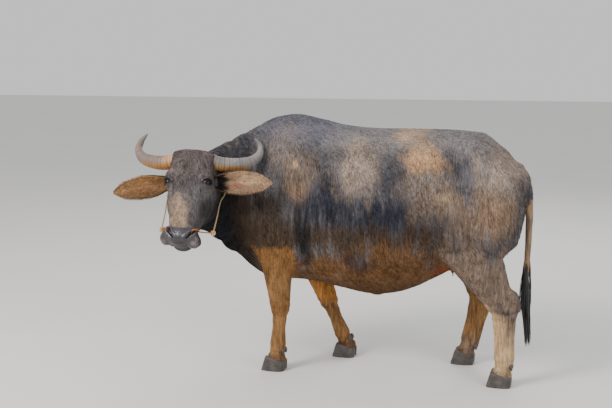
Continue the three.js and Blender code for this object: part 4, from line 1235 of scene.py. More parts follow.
def closed_rings(name, rings):
    """A closed object through rings of points in millimetres, capped at both ends."""
    rows, sides = rings.shape[:2]
    middle = np.stack([rings[0].mean(0), rings[-1].mean(0)])
    points = np.concatenate([rings.reshape(-1, 3), middle])
    low, high = len(points) - 2, len(points) - 1
    last = (rows - 1) * sides
    j = np.arange(sides)
    caps = np.concatenate([np.stack([(j + 1) % sides, j, np.full(sides, low)], 1),
                           np.stack([last + j, last + (j + 1) % sides, np.full(sides, high)], 1)])
    return mesh_object(name, to_frame(points), [ring_quads(rows, sides), caps])


# Paths of the horns: to the head's side, back and up from the poll
HORN_ROUTES = {
    1: ((50, 50, -50), (120, 62, -72), (200, 96, -76), (262, 146, -62), (294, 188, -26),
        (290, 206, 14), (266, 200, 46)),
    -1: ((52, 50, -50), (125, 62, -76), (212, 90, -84), (296, 136, -68), (328, 176, -30),
         (318, 194, 8), (286, 196, 46)),
}
# Tones of the horns: main, grey, below and at the base
HORN_TONES = {
    "left": ((0.280, 0.252, 0.228), (0.135, 0.145, 0.172), (0.300, 0.130, 0.022),
             (0.115, 0.108, 0.095)),
    "right": ((0.250, 0.172, 0.125), (0.160, 0.120, 0.122), (0.400, 0.150, 0.012),
              (0.680, 0.350, 0.160)),
}
HORN_SIDES = 40
HORN_ROWS = 220


def build_horns():
    """Both horns with their growth rings, crevices and worn points."""
    colours, _, _ = settings()
    for name, side in SIDES:
        build_horn(name, side, horn_material(name, colours, *HORN_TONES[name]))


def horn_material(name, colours, main, grey, below, base):
    """Horn with growth rings, warm below, grey in clouds and another tone at its base."""
    n = Nodes(f"horn_{name}")
    rings = n.noise(1.0, 5, 0.6, n.place((34, 26, 46)), 0.4)
    grain = n.noise(130.0, 4, 0.6, n.place((0.35, 1, 1)))
    cloud = n.noise(9.0, 4, 0.6)
    groove = n.attribute("groove")
    under = n.attribute("under")
    tipward = n.attribute("tipward")
    rootward = n.attribute("rootward")
    colour = n.mix(n.ramp(cloud, (0.3, 0.0), (0.7, 1.0)), tuple(0.68 * c for c in main), main)
    colour = n.mix(n.ramp(n.noise(16.0, 4, 0.6), (0.42, 0.0), (0.62, 0.8)), colour, grey)
    colour = n.mix(n.sums("MULTIPLY", rootward, n.ramp(cloud, (0.3, 0.5), (0.6, 1.0))), colour, base)
    colour = n.mix(n.ramp(under, (0.0, 0.0), (0.6, 0.95)), colour, below)
    crevice = n.sums("MULTIPLY", groove, n.sums("ADD", rings, 0.5))
    colour = n.mix(n.ramp(crevice, (0.25, 0.0), (0.85, 1.0)), colour, colours.horn_dark)
    colour = n.mix(n.ramp(grain, (0.45, 0.0), (0.75, 0.5)), colour, (0.12, 0.11, 0.09))
    colour = n.mix(n.sums("MULTIPLY", tipward, 0.75), colour, (0.12, 0.11, 0.10))
    n.set(Base_Color=colour, Roughness=n.mix(rings, (0.42,) * 3, (0.68,) * 3))
    n.bump((rings, 0.004, 0.5), (grain, 0.0015, 0.5))
    return n.material


def build_horn(name, side, material):
    """One horn, a bent tube with a groove between each two rings."""
    draw = np.random.default_rng(40 + side)
    centres = np.cumsum(draw.uniform(0.014, 0.05, 40))
    centres = centres[centres < 0.8]
    depths = draw.uniform(0.3, 0.85, len(centres))

    def groove_at(t):
        wave = np.zeros_like(t)
        for centre, depth in zip(centres, depths):
            wave = np.maximum(wave, depth * np.exp(-((t - centre) / (0.004 + 0.005 * depth)) ** 2))
        return wave * (1 - smooth_step(t, 0.6, 0.85))

    def size_at(t, angle):
        girth = 37 * (1 - np.minimum(t, 0.999) ** 2.4) ** 0.75 + 1.2
        groove = groove_at(t + 0.006 * np.sin(angle * 2 + t * 30))
        weight = 0.45 + 0.55 * np.cos((angle - 0.6) / 2) ** 2
        flat = 1 - 0.05 * np.cos(2 * angle) + 0.025 * np.sin(3 * angle)
        size = girth * (1.02 - 0.07 * groove * weight) * flat
        return size, size * 0.78

    route = [near_poll(side * left, back, up) for left, back, up in HORN_ROUTES[side]]
    item = tube(f"horn_{name}_piece", route, size_at, HORN_SIDES, HORN_ROWS)
    t = np.repeat(np.linspace(0, 1, HORN_ROWS), HORN_SIDES)
    angle = np.tile(np.arange(HORN_SIDES) / HORN_SIDES * 2 * math.pi, HORN_ROWS)
    values = {
        "groove": groove_at(t),
        "under": smooth_step(-np.cos(angle), -0.25, 0.6) * smooth_step(t, 0.62, 0.4),
        "tipward": smooth_step(t, 0.78, 0.98),
        "rootward": smooth_step(t, 0.34, 0.12),
    }
    for key, rows in values.items():
        mark(item, key, np.concatenate([rows, rows[:1], rows[-1:]]))
    finish_piece(item, material, "horn", f"horn_{name}")


def build_eyes():
    """Both eyes: a dark brown iris with a wide pupil under a clear wet coat."""
    n = Nodes("eye")
    where = n.add("ShaderNodeAttribute", attribute_name="gaze").outputs["Color"]
    parts = n.add("ShaderNodeSeparateColor", Color=where)
    fibres = n.noise(220.0, 3, 0.6)
    iris = n.mix(fibres, (0.008, 0.004, 0.003), (0.030, 0.014, 0.007))
    colour = n.mix(parts.outputs["Red"], (0.035, 0.022, 0.018), iris)
    colour = n.mix(parts.outputs["Green"], colour, (0.002, 0.002, 0.003))
    n.set(Base_Color=colour, Roughness=0.2, Coat_Weight=0.1, Coat_Roughness=0.03, Specular_IOR_Level=0.2)
    for name, side in SIDES:
        item = ball(f"eye_{name}_piece", 48, 32, EYE_RADIUS)
        offsets = corners_of(item.data)
        across, high, out, _ = eye_places(EYE_CENTRES[side] + offsets, side)
        bulge = 1 + 0.035 * smooth_step(out / EYE_RADIUS, 0.72, 0.95)
        place_corners(item.data, to_frame(EYE_CENTRES[side] + offsets * bulge[:, None]))
        iris_at = smooth_step(np.hypot(across, high), 18.0, 16.4)
        pupil = smooth_step(np.hypot(across / 12.0, high / 7.5), 1.08, 0.92) * (out > 0)
        paint(item, "gaze", np.stack([iris_at * (out > 0), pupil, 0 * pupil, np.ones(len(pupil))], 1))
        finish_piece(item, n.material, "eye", f"eye_{name}")


EAR_HALF = 49.5
# Root and tip of each ear: to the head's left, back and up from the poll
EAR_ENDS = {1: ((88, 62, -160), (392, 42, -146)), -1: ((-88, 62, -166), (-416, 42, -240))}
# Darker and lighter skin inside each ear, the right ear's pair darker as painted shade, then the red of its
# hollow and the painted shade at its root
EAR_TONES = {
    "left": ((0.36, 0.225, 0.135), (0.56, 0.370, 0.235)),
    "right": ((0.215, 0.110, 0.048), (0.38, 0.220, 0.105)),
}
EAR_RED = (0.30, 0.12, 0.075)
EAR_ROOT_SHADE = (0.022, 0.019, 0.019)


def ear_depth(u, turn):
    """How thick an ear is."""
    return (7.5 - 3.5 * u) * (0.25 + 0.75 * np.sqrt(np.maximum(1 - turn ** 2, 0)))


def ear_red(u, level):
    """1 in the red hollow of an ear, 0 away from it."""
    return smooth_step(np.hypot((u - 0.42) / 0.17, (level + 0.38) / 0.32), 1.2, 0.3)


def ear_surface(side, u, turn, height):
    """Points of an ear: u runs from root to tip, turn across from edge to edge, height out of its back."""
    root, tip = (near_poll(*end) for end in EAR_ENDS[side])
    lengthwise = tip - root
    way = unit(lengthwise)
    open_way = unit(FORWARD - way * (FORWARD @ way))
    across = np.cross(way, open_way)
    leaf = np.sin(math.pi * (0.1 + 0.893 * u)) ** 0.66
    half = EAR_HALF * leaf * (0.72 + 0.28 * np.minimum(u / 0.3, 1))
    roll = np.radians(118 - 74 * np.minimum(u * 1.8, 1))
    radius = half / np.sin(np.minimum(roll, math.pi / 2))
    reach = radius + height
    angle = turn * roll
    wave = 2.2 * np.sin(u * 17 + 2 * turn) * np.abs(turn) ** 2
    centre = root + lengthwise * u[..., None] + open_way * radius[..., None]
    spot = centre - open_way * (reach * np.cos(angle))[..., None]
    spot = spot + across * (reach * np.sin(angle))[..., None]
    return spot + open_way * wave[..., None]


def build_ears():
    """Both ears as rolled leaves of skin, pale and haired inside."""
    rows, cells = 56, 25
    for name, side in SIDES:
        n = Nodes(f"ear_skin_{name}")
        inner = n.attribute("inner")
        deep = n.attribute("deep")
        clouds = n.noise(22.0, 4, 0.6)
        back = n.mix(clouds, (0.10, 0.072, 0.050), (0.26, 0.185, 0.12))
        low = n.attribute("low")
        spot = n.attribute("spot")
        front = n.mix(n.ramp(clouds, (0.3, 0.0), (0.7, 1.0)), *EAR_TONES[name])
        # Painted light: the inside of the ear is brighter towards its upper edge and darker towards its lower
        # edge
        front = n.mix(1.0, front, n.ramp(low, (0.1, 1.45), (0.8, 0.5)), "MULTIPLY")
        front = n.mix(n.sums("MULTIPLY", spot, 0.8), front, EAR_RED)
        # Painted shade at the ear's root
        front = n.mix(deep, front, EAR_ROOT_SHADE)
        veins = n.noise(14.0, 3, 0.5, warp=1.2)
        n.set(Base_Color=n.mix(inner, back, front), Roughness=0.75, Specular_IOR_Level=0.2)
        n.set(Subsurface_Weight=0.12, Subsurface_Radius=(0.012, 0.004, 0.002))
        n.bump((clouds, 0.002, 0.5), (veins, 0.002, 0.4))
        u = np.linspace(0, 1, rows)[:, None] * np.ones((1, cells))
        turn = np.ones((rows, 1)) * np.linspace(-1, 1, cells)[None]
        thick = ear_depth(u, turn)
        front = ear_surface(side, u, turn, 0 * u)
        back = ear_surface(side, u[:, ::-1], turn[:, ::-1], thick[:, ::-1])
        rings = np.concatenate([front, back], 1)
        if side < 0:
            rings = rings[:, ::-1]
        item = closed_rings(f"ear_{name}_piece", rings)
        inner = np.concatenate([np.ones((rows, cells)), np.zeros((rows, cells))], 1)
        level = (front[..., 2] - front[..., 2].mean(1, keepdims=True)) / EAR_HALF
        # low grows towards the lower edge of the ear's inside and drives its painted light
        low = np.concatenate([0.5 - 0.5 * level, 0.5 + 0 * u], 1)
        edge = (0.19, 0.30) if side > 0 else (0.05, 0.12)
        shade = np.concatenate([smooth_step(u + 0.05 * np.sin(9 * turn), edge[1], edge[0]), 0 * u], 1)
        spot = ear_red(u, level) * (0.9 if side > 0 else 0.35)
        spot = np.concatenate([spot, 0 * u], 1)
        if side < 0:
            inner, shade, low, spot = [rows_of[:, ::-1] for rows_of in (inner, shade, low, spot)]
        for key, values in (("inner", inner), ("deep", shade), ("low", low), ("spot", spot)):
            mark(item, key, np.concatenate([values.ravel(), [0, 0]]))
        finish_piece(item, n.material, "ear", f"ear_{name}")


def build_hooves():
    """Eight claws with growth lines, and eight dewclaws."""
    colours, _, _ = settings()
    n = Nodes("hoof")
    lines = n.noise(1.0, 5, 0.6, n.place((12, 12, 170)), 0.3)
    cloud = n.noise(26.0, 4, 0.6)
    colour = n.mix(n.ramp(cloud, (0.35, 0.0), (0.7, 1.0)), colours.hoof, tuple(2.6 * c for c in colours.hoof))
    colour = n.mix(n.ramp(lines, (0.5, 0.0), (0.75, 0.45)), colour, (0.17, 0.13, 0.095))
    n.set(Base_Color=colour, Roughness=0.55)
    n.bump((lines, 0.003, 0.6), (cloud, 0.002, 0.3))
    # Share of the height, reach to the toe, reach to the heel, half width
    levels = np.array([[0, 72, 44, 25], [0.08, 71, 45, 25.6], [0.33, 65, 46, 25.8],
                       [0.67, 58, 47, 24.8], [0.94, 51, 46.5, 23.9], [1, 48, 44, 21.5]])
    for leg, sections in zip(LEG_NAMES, LEGS):
        x, y = sections[-1][:2]
        for place, side in (("inner", 1), ("outer", -1)):
            across_side = side if leg.endswith("left") else -side
            rings = []
            for height in np.linspace(0, 1, 22):
                toe, heel, half = [np.interp(height, levels[:, 0], levels[:, k]) for k in (1, 2, 3)]
                angle = np.arange(40) / 40 * 2 * math.pi
                cos, sin = np.cos(angle), np.sin(angle)
                ahead = np.sign(cos) * np.abs(cos) ** 0.85 * np.where(cos > 0, toe, heel)
                across = np.sign(sin) * np.abs(sin) ** 0.75 * half * np.where(cos > 0, 1 - 0.28 * cos, 1)
                ridge = 0.35 * math.sin(height * 40) * min(height * 5, 1) * min((1 - height) * 8, 1)
                sideways = across_side * 27.5 + across + across_side * 0.06 * ahead
                spots = np.stack([-ahead * (1 + ridge / 50), sideways, 0 * ahead], 1)
                spots[:, 2] = height * (HOOF_TOP - 0.3 + HOOF_SLOPE * spots[:, 0])
                rings.append(spots + np.array([x, y, 0]))
            item = closed_rings(f"claw_{leg}_{place}_piece", np.array(rings))
            finish_piece(item, n.material, "hoof", f"claw_{leg}_{place}")
            low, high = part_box(f"dewclaw_{leg}_{place}")
            centre, half = np.array(low + high) / 2, np.array(high - low) / 2
            item = ball(f"dewclaw_{leg}_{place}_piece", 24, 16, 1.0)
            spots = corners_of(item.data)
            spots[:, 0] += 0.25 * spots[:, 2] ** 2 * np.sign(-spots[:, 2])
            place_corners(item.data, centre + spots * half * np.array([0.95, 1.0, 0.98]))
            finish_piece(item, n.material, "hoof", f"dewclaw_{leg}_{place}")


SWITCH_LOCKS = 150


def tail_path(start=3):
    """Path of the tail from one of its places down."""
    return [(x, 0.0, z) for x, z in TAIL_ROUTE[start:]]


def build_tail():
    """Shaft of the tail and its black switch of long tapering locks."""
    colours, _, _ = settings()

    def size_at(t, angle):
        girth = np.interp(t, (0, 0.35, 0.62, 1.0), (20.0, 15.5, 12.5, 4.0))
        return girth * (1 + 0.03 * np.sin(5 * angle + 40 * t))

    item = tube("tail_shaft_piece", tail_path(), size_at, 20, 120, up=(1, 0, 0))
    points = (corners_of(item.data) - SHIFT) * 1000
    worn = cloud(points, 40, 4.0, 31)[:, None]
    shaft = np.array((0.29, 0.19, 0.105))
    tones = np.array(colours.brown) + np.clip(0.8 + worn, 0, 1) * (shaft - np.array(colours.brown))
    paint(item, "tones", np.concatenate([tones, 0 * worn], 1))
    finish_piece(item, hide_material(colours), "hide", "tail_shaft")

    hair = plain_hair_material("switch_hair", (0.006, 0.006, 0.007), (0.055, 0.050, 0.050), 0.42)
    draw = np.random.default_rng(77)
    curve = smooth_path(tail_path(), 200)
    steps = np.linspace(0, 1, 200)
    rings = []
    for n in range(SWITCH_LOCKS):
        start = draw.uniform(0.40, 0.86)
        end = min(start + draw.uniform(0.22, 0.42), draw.uniform(0.97, 1.08))
        angle = draw.uniform(0, 2 * math.pi)
        out = np.array([math.cos(angle), math.sin(angle), 0])
        t = np.linspace(start, end, 9)
        held = np.minimum(t, 1)
        centre = np.stack([np.interp(held, steps, curve[:, k]) for k in range(3)], 1)
        centre[:, 2] -= np.maximum(t - 1, 0) * 700
        share = (t - start) / (end - start)
        swell = np.sin(np.minimum(share * 1.25, 1) * math.pi / 2)
        reach = 5 + draw.uniform(13, 25) * swell * (1 - 0.62 * smooth_step(t, 0.72, 1.0))
        sway = np.stack([np.sin(9 * t + n), np.cos(8 * t + 2 * n), 0 * t], 1)
        centre = centre + out * reach[:, None] + 2.4 * sway
        taper = np.sin(math.pi * np.clip(0.12 + 0.88 * (1 - share), 0, 1)) ** 0.6
        wide = (4.2 * taper * (1 - share) ** 0.35 + 0.15)[:, None]
        side = np.cross(UP, out)
        ring = [centre - side * wide, centre - out * 0.5 * wide,
                centre + side * wide, centre + out * 0.55 * wide]
        rings.append(np.stack(ring, 1))
    build_locks("tail_switch_piece", rings, hair, "switch", 5, "tail_switch")


def build_locks(name, locks, material, slot, seed, *nodes):
    """Many closed tapering locks, each through its own rings, as one object."""
    points, quads, caps, tint = [], [], [], []
    draw = np.random.default_rng(seed)
    start = 0
    for ring in locks:
        rows, sides = ring.shape[:2]
        quads.append(ring_quads(rows, sides, start))
        end = start + (rows - 1) * sides
        caps += [[start + n for n in range(sides)][::-1], [end + n for n in range(sides)]]
        points.append(ring.reshape(-1, 3))
        tint.append(np.full(rows * sides, draw.uniform(0, 1)))
        start += rows * sides
    item = mesh_object(name, to_frame(np.concatenate(points)), [np.concatenate(quads), np.array(caps)])
    mark(item, "tint", np.concatenate(tint))
    place = []
    for ring in locks:
        steps = [np.linspace(0, 1, count) for count in ring.shape[1::-1]]
        place.append(np.stack(np.meshgrid(*steps), -1).reshape(-1, 2))
    owner = np.repeat(np.arange(len(locks)), [len(rows) for rows in place])
    wide = int(math.ceil(math.sqrt(len(locks))))
    cell = np.stack([owner % wide, owner // wide], 1)
    unwrap_to(item, (cell + 0.1 + 0.8 * np.concatenate(place)) / wide)
    return finish_piece(item, material, slot, *nodes)


# Places of the ropes: left, down and out of the face, and for some the height above the skin
ROPE_KNOT = (130, 378, -122)
ROPE_NOSE = ((52, 412, -18), (64, 404, 0, 4), (78, 397, -14, 5), (100, 388, -60, 9))
ROPE_BAND = ((132, 290, -143), (133, 208, -162), (118, 158, -186, 9), (96, 95, -190, 12),
             (62, 30, -172, 15), (0, 2, -150, 17))


def rope_route(rows):
    """Points of a rope: those with a fourth number lie that far above the skin."""
    route = []
    for row in rows:
        spot = on_head(*row[:3])
        if len(row) == 4:
            spot = settle(body_form, spot[None], row[3], 12)[0]
        route.append(spot)
    return route


def mirrored(rows):
    """The same places on the other side of the head."""
    return [(-row[0], *row[1:]) for row in rows]


def build_rope():
    """Nose ropes, their knots and the rope round behind the horns, held by the head all the way."""
    colours, _, _ = settings()
    ropes = {}
    for name, tone in (("rope", (1, 1, 1)), ("nose_rope", (0.95, 0.52, 0.30)), ("rope_knot", (1.25, 1.3, 1.2))):
        n = Nodes(name)
        fibres = n.noise(420.0, 4, 0.7)
        dirt = n.noise(38.0, 3, 0.6)
        light = tuple(min(1, c * t * 1.25) for c, t in zip(colours.rope, tone))
        dark = tuple(c * t * 0.45 for c, t in zip(colours.rope, tone))
        worn = n.mix(dirt, light, tuple(0.7 * c for c in light))
        n.set(Base_Color=n.mix(n.ramp(fibres, (0.35, 0.0), (0.65, 1.0)), dark, worn), Roughness=0.85)
        n.bump((fibres, 0.0012, 0.8))
        ropes[name] = n.material

    def strand_size(turns):
        def size_at(t, angle):
            twist = 0.16 * np.cos(2 * (angle - turns * 2 * math.pi * t))
            return 3.2 * (1 + twist + 0.02 * np.sin(angle * 9))
        return size_at

    def knot_size(t, angle):
        return 3.9 + 0.5 * np.cos(2 * angle - 90 * t)

    band = [ROPE_KNOT, *ROPE_BAND, *mirrored([ROPE_KNOT, *ROPE_BAND[:-1]])[::-1]]
    item = tube("head_rope_piece", rope_route(band), strand_size(52), 14, 900, up=FACE_OUT)
    finish_piece(item, ropes["rope"], "rope", "head_rope")
    nose = [*ROPE_NOSE, ROPE_KNOT]
    for name, side in SIDES:
        route = rope_route(nose if side > 0 else mirrored(nose))
        item = tube(f"nose_rope_{name}_piece", route, strand_size(11), 14, 200, up=FACE_OUT)
        finish_piece(item, ropes["nose_rope"], "rope", f"nose_rope_{name}")
        centre = on_head(side * ROPE_KNOT[0], ROPE_KNOT[1], ROPE_KNOT[2])
        t = np.linspace(0, 2 * math.pi, 60, endpoint=False)
        swing = 6.5 * np.cos(2 * t) + 2 * np.cos(3 * t)
        turns = np.stack([swing, 8.5 * np.sin(3 * t), 6.5 * np.sin(2 * t)], 1)
        path = centre + turns @ np.stack([HEAD_LEFT, FACE_DOWN, FACE_OUT])
        item = tube(f"rope_knot_{name}_piece", [*path, path[0]], knot_size, 10, 260, up=FACE_OUT)
        finish_piece(item, ropes["rope_knot"], "rope", f"rope_knot_{name}")


def build_coat():
    """Short coat in five pieces: tufts that lie along the body and are smallest on face and feet."""
    colours, coat, _ = settings()
    sample = STORE["sample"]
    material = hair_material("coat")
    width = coat.tuft_width * 1000

    def grow(name, chosen, count, seed, length, share, lift, unwrap, slot):
        roots, normals = sample.draw(lambda p: chosen(p).astype(float), count, seed)
        keep = (bare_muzzle(roots) <= 0.3) & (roots[:, 2] > 74)
        for side in (-1, 1):
            keep &= np.linalg.norm(roots - EYE_CENTRES[side], axis=1) > EYE_RADIUS + 8
        roots, normals = roots[keep], normals[keep]
        lie, tones = lie_of(roots, normals), tones_at(roots, normals, colours)
        item = tuft_mesh(name, roots, normals, lie, length(roots), share * width, lift,
                         unwrap(roots), tones, seed + 1)
        finish_piece(item, material, slot)

    body_long, face_long, leg_long = coat.body_length * 1000, coat.face_length * 1000, coat.leg_length * 1000

    def body_map(p):
        turn = around(p, np.array([0, 0, 780]), np.array([0.0, 1, 0]), np.array([0, 0, 1.0]))
        return np.stack([np.clip((p[:, 0] + 760) / 1560, 0, 0.99), np.clip(turn, 0, 0.99)], 1)

    def head_map(p):
        left, down, out = head_places(p).T
        turn = np.arctan2(left, out + 75) / (2 * math.pi) + 0.5
        return np.stack([np.clip(turn, 0, 0.99), np.clip((down + 60) / 620, 0, 0.99)], 1)

    def neck_map(p):
        turn = around(p, np.array([-760, -140, 890]), np.array([0.9, -0.4, 0]), np.array([0, 0, 1.0]))
        return np.stack([turn * 0.99, np.clip((p @ unit(np.array([-1.0, -0.9, 0])) - 300) / 700, 0, 0.99)], 1)

    def leg_map(p):
        column = np.zeros(len(p))
        turn = np.zeros(len(p))
        for n, sections in enumerate(LEGS):
            places = np.array(sections)[::-1]
            x, y = (np.interp(p[:, 2], places[:, 2], places[:, k]) for k in (0, 1))
            near = (np.sign(p[:, 1]) == np.sign(y)) & ((p[:, 0] < 100) == (n < 2))
            column = np.where(near, n, column)
            turn = np.where(near, np.arctan2(p[:, 1] - y, p[:, 0] - x) / (2 * math.pi) + 0.5, turn)
        return np.stack([(column + 0.97 * turn) / 4, np.clip(p[:, 2] / 700, 0, 0.99)], 1)

    def body_size(p):
        return body_long

    def leg_size(p):
        return leg_long * (0.5 + 0.5 * smooth_step(p[:, 2], 120, 420))

    def face_size(p):
        _, down, out = head_places(p).T
        return face_long * (1.6 - 0.9 * smooth_step(down, 60, 360)) * (1 + 0.6 * smooth_step(out, -90, -180))

    # Name, place, tufts, seed, length, share of the width, lift, unwrap, slot
    for row in (
        ("coat_body_left", lambda p: region_masks(p)[3] & (p[:, 1] < 0), coat.body_tufts, 1,
         body_size, 1.0, 0.09, body_map, "hide"),
        ("coat_body_right", lambda p: region_masks(p)[3] & (p[:, 1] >= 0), coat.body_tufts, 3,
         body_size, 1.0, 0.09, body_map, "hide"),
        ("coat_neck", lambda p: region_masks(p)[1], coat.neck_tufts, 5,
         body_size, 1.0, 0.09, neck_map, "hide"),
        ("coat_legs", lambda p: region_masks(p)[2], coat.leg_tufts, 7,
         leg_size, 0.85, 0.09, leg_map, "leg"),
        ("coat_head", lambda p: region_masks(p)[0], coat.head_tufts, 9,
         face_size, 0.7, 0.11, head_map, "hide"),
    ):
        grow(*row)


def ear_tones(side, u, level, draw):
    """Colour of the hair inside an ear: painted light, bright above and dull below, darker in the right ear as
    painted shade, red in the hollow, and painted shade at the root.
    """
    base = (0.47, 0.31, 0.195) if side > 0 else (0.30, 0.165, 0.076)
    # Painted light: brighter towards the ear's upper edge, duller towards its lower edge
    tone = np.array(base) * (0.95 + 0.42 * level)[:, None]
    tone = tone * draw.uniform(0.75, 1.25, len(u))[:, None]
    red = ear_red(u, level) * (0.75 if side > 0 else 0.3)
    tone = tone + red[:, None] * (np.array(EAR_RED) - tone)
    # Painted shade at the ear's root
    root = smooth_step(u, 0.31, 0.18) if side > 0 else 0.6 * smooth_step(u, 0.12, 0.04)
    tone = tone + root[:, None] * (np.array(EAR_ROOT_SHADE) - tone)
    return np.concatenate([tone, 0 * tone[:, :1]], 1)


def build_ear_hair():
    """Hair of both ears: a fringe along the rims, long curved hair inside and short hair on the back."""
    hair = hair_material("ear_hair")
    for name, side in SIDES:
        for kind, count, seed in (("front", 2600, 21), ("back", 3600, 25)):
            draw = np.random.default_rng(seed + (side > 0))
            u = draw.uniform(0.04, 0.985, count)
            turn = draw.uniform(-1, 1, count)
            rim = draw.uniform(0, 1, count) < (0.42 if kind == "front" else 0.25)
            turn = np.where(rim, np.sign(turn) * draw.uniform(0.93, 1.0, count), turn * 0.95)
            step = 1e-3
            height = np.zeros(count) if kind == "front" else ear_depth(u, turn)
            spot = ear_surface(side, u, turn, height)
            along_u = unit(ear_surface(side, u + step, turn, height) - spot)
            across = unit(ear_surface(side, u, turn + step, height) - spot)
            normal = unit(np.cross(along_u, across))
            out = unit(ear_surface(side, u, turn, height + 1) - spot)
            normal = normal * np.sign((normal * out).sum(1))[:, None]
            if kind == "front":
                normal = -normal
            spread = (0.25 + 0.9 * rim) * smooth_step(u, 1.0, 0.75)
            spread = spread * np.sign(turn) * (1 if kind == "front" else 0.8)
            lie = along_u + across * spread[:, None]
            inner_length = 17.0 if kind == "front" else 14.0
            length = np.where(rim, 22.0, inner_length) * (1 - 0.5 * smooth_step(u, 0.7, 0.98))
            level = (spot[:, 2] - ear_surface(side, u, 0 * turn, height)[:, 2]) / EAR_HALF
            tones = ear_tones(side, u, level, draw)
            if kind == "back":
                tones[:, :3] = np.array((0.20, 0.145, 0.092)) * draw.uniform(0.4, 1.5, count)[:, None]
            unwrap = np.stack([0.98 * (turn + 1) / 2, 0.98 * u], 1)
            item = tuft_mesh(f"ear_{name}_{kind}_hair", spot, normal, lie, length, np.full(count, 1.3),
                             0.28 if kind == "front" else 0.16, unwrap, tones, seed + 9)
            finish_piece(item, hair, "ear")


def build_stage():
    """Pale floor, soft lights and the camera."""
    _, _, stage = settings()
    n = Nodes("floor")
    cloud = n.noise(1.4, 3, 0.5)
    n.set(Base_Color=n.mix(cloud, (0.68, 0.67, 0.65), (0.74, 0.73, 0.71)), Roughness=0.9)
    corners = [(-30, -30, 0), (30, -30, 0), (30, 30, 0), (-30, 30, 0)]
    floor = mesh_object("floor", np.array(corners, float), np.array([[0, 1, 2, 3]]), False)
    floor.data.materials.append(n.material)
    world = bpy.data.worlds.new("room")
    world.use_nodes = True
    back = world.node_tree.nodes["Background"]
    back.inputs["Color"].default_value = (0.90, 0.90, 0.91, 1)
    back.inputs["Strength"].default_value = stage.sky
    bpy.context.scene.world = world
    lamps = (("key", (-3.2, -4.4, 4.6), 2.6, stage.key_power, (1.0, 0.96, 0.90)),
             ("fill", (4.6, -3.0, 3.0), 3.5, stage.fill_power, (0.93, 0.96, 1.0)),
             ("rim", (0.5, 4.8, 4.5), 3.0, stage.fill_power, (1.0, 1.0, 1.0)))
    for name, place, size, power, tone in lamps:
        light = bpy.data.lights.new(name, "AREA")
        light.shape = "DISK"
        light.size = size
        light.energy = power
        light.color = tone
        item = bpy.data.objects.new(name, light)
        item.location = place
        item.rotation_euler = (Vector((0, 0, 0.7)) - Vector(place)).to_track_quat("-Z", "Y").to_euler()
        bpy.context.scene.collection.objects.link(item)
    camera = bpy.data.objects.new("camera", bpy.data.cameras.new("camera"))
    camera.data.lens = stage.lens
    camera.data.sensor_width = 36.0
    camera.data.clip_end = 200
    camera.location = (1.03 + SHIFT[0], -5.36 + SHIFT[1], 1.60)
    pitch = math.radians(-8.0)
    ahead = Vector((-0.2588 * math.cos(pitch), 0.9659 * math.cos(pitch), math.sin(pitch)))
    camera.rotation_euler = ahead.to_track_quat("-Z", "Y").to_euler()
    bpy.context.scene.collection.objects.link(camera)
    bpy.context.scene.camera = camera


class BUFFALO_OT_skin(bpy.types.Operator):
    """Make the one skin with its folds, lids, nostrils and lips"""
    bl_idname = "buffalo.skin"
    bl_label = "Skin"

    def execute(self, context):
        build_skin()
        return {"FINISHED"}


class BUFFALO_OT_eyes(bpy.types.Operator):
    """Make both eyes"""
    bl_idname = "buffalo.eyes"
    bl_label = "Eyes"

    def execute(self, context):
        build_eyes()
        return {"FINISHED"}


class BUFFALO_OT_horns(bpy.types.Operator):
    """Make both horns"""
    bl_idname = "buffalo.horns"
    bl_label = "Horns"

    def execute(self, context):
        build_horns()
        return {"FINISHED"}


class BUFFALO_OT_ears(bpy.types.Operator):
    """Make both ears and their hair"""
    bl_idname = "buffalo.ears"
    bl_label = "Ears"

    def execute(self, context):
        build_ears()
        build_ear_hair()
        return {"FINISHED"}


class BUFFALO_OT_hooves(bpy.types.Operator):
    """Make the claws and dewclaws"""
    bl_idname = "buffalo.hooves"
    bl_label = "Hooves"

    def execute(self, context):
        build_hooves()
        return {"FINISHED"}


class BUFFALO_OT_tail(bpy.types.Operator):
    """Make the shaft of the tail and its switch"""
    bl_idname = "buffalo.tail"
    bl_label = "Tail"

    def execute(self, context):
        build_tail()
        return {"FINISHED"}


class BUFFALO_OT_rope(bpy.types.Operator):
    """Make the ropes and knots"""
    bl_idname = "buffalo.rope"
    bl_label = "Rope"

    def execute(self, context):
        build_rope()
        return {"FINISHED"}


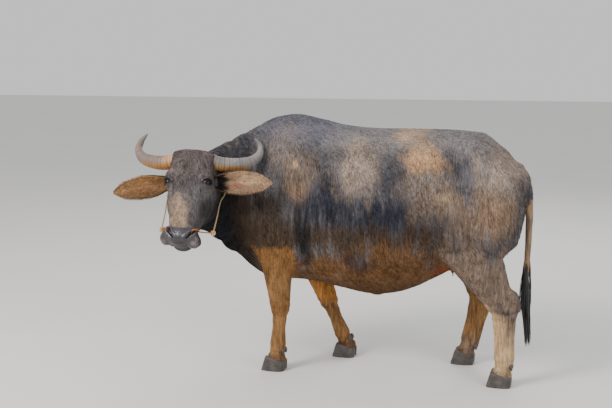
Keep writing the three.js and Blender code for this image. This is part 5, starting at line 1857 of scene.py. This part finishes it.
class BUFFALO_OT_coat(bpy.types.Operator):
    """Make the short coat over the skin"""
    bl_idname = "buffalo.coat"
    bl_label = "Coat"

    def execute(self, context):
        build_coat()
        return {"FINISHED"}


class BUFFALO_OT_stage(bpy.types.Operator):
    """Make the floor, the lights and the camera"""
    bl_idname = "buffalo.stage"
    bl_label = "Stage"

    def execute(self, context):
        build_stage()
        return {"FINISHED"}


STEPS = (BUFFALO_OT_skin, BUFFALO_OT_eyes, BUFFALO_OT_horns, BUFFALO_OT_ears, BUFFALO_OT_hooves,
         BUFFALO_OT_tail, BUFFALO_OT_rope, BUFFALO_OT_coat, BUFFALO_OT_stage)


class BUFFALO_PT_pieces(bpy.types.Panel):
    """Pieces and settings of the water buffalo cow"""
    bl_idname = "BUFFALO_PT_pieces"
    bl_label = "Water Buffalo Cow"
    bl_space_type = "VIEW_3D"
    bl_region_type = "UI"
    bl_category = "Buffalo"

    def draw(self, context):
        for group in settings():
            box = self.layout.box()
            box.label(text=type(group).__doc__)
            for key in type(group).__annotations__:
                box.prop(group, key)
        for step in STEPS:
            self.layout.operator(step.bl_idname)


GROUPS = (BuffaloColours, BuffaloCoat, BuffaloStage)


def register():
    """Registers every class and the three groups of settings."""
    for group in (*GROUPS, *STEPS, BUFFALO_PT_pieces):
        bpy.utils.register_class(group)
    bpy.types.Scene.buffalo_colours = PointerProperty(type=BuffaloColours)
    bpy.types.Scene.buffalo_coat = PointerProperty(type=BuffaloCoat)
    bpy.types.Scene.buffalo_stage = PointerProperty(type=BuffaloStage)


def unregister():
    """Takes the classes and settings away again."""
    del bpy.types.Scene.buffalo_stage
    del bpy.types.Scene.buffalo_coat
    del bpy.types.Scene.buffalo_colours
    for group in reversed((*GROUPS, *STEPS, BUFFALO_PT_pieces)):
        bpy.utils.unregister_class(group)


def main():
    """Makes every piece in order."""
    register()
    for step in STEPS:
        kind, name = step.bl_idname.split(".")
        getattr(getattr(bpy.ops, kind), name)()
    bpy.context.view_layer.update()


if __name__ == "__main__":
    main()
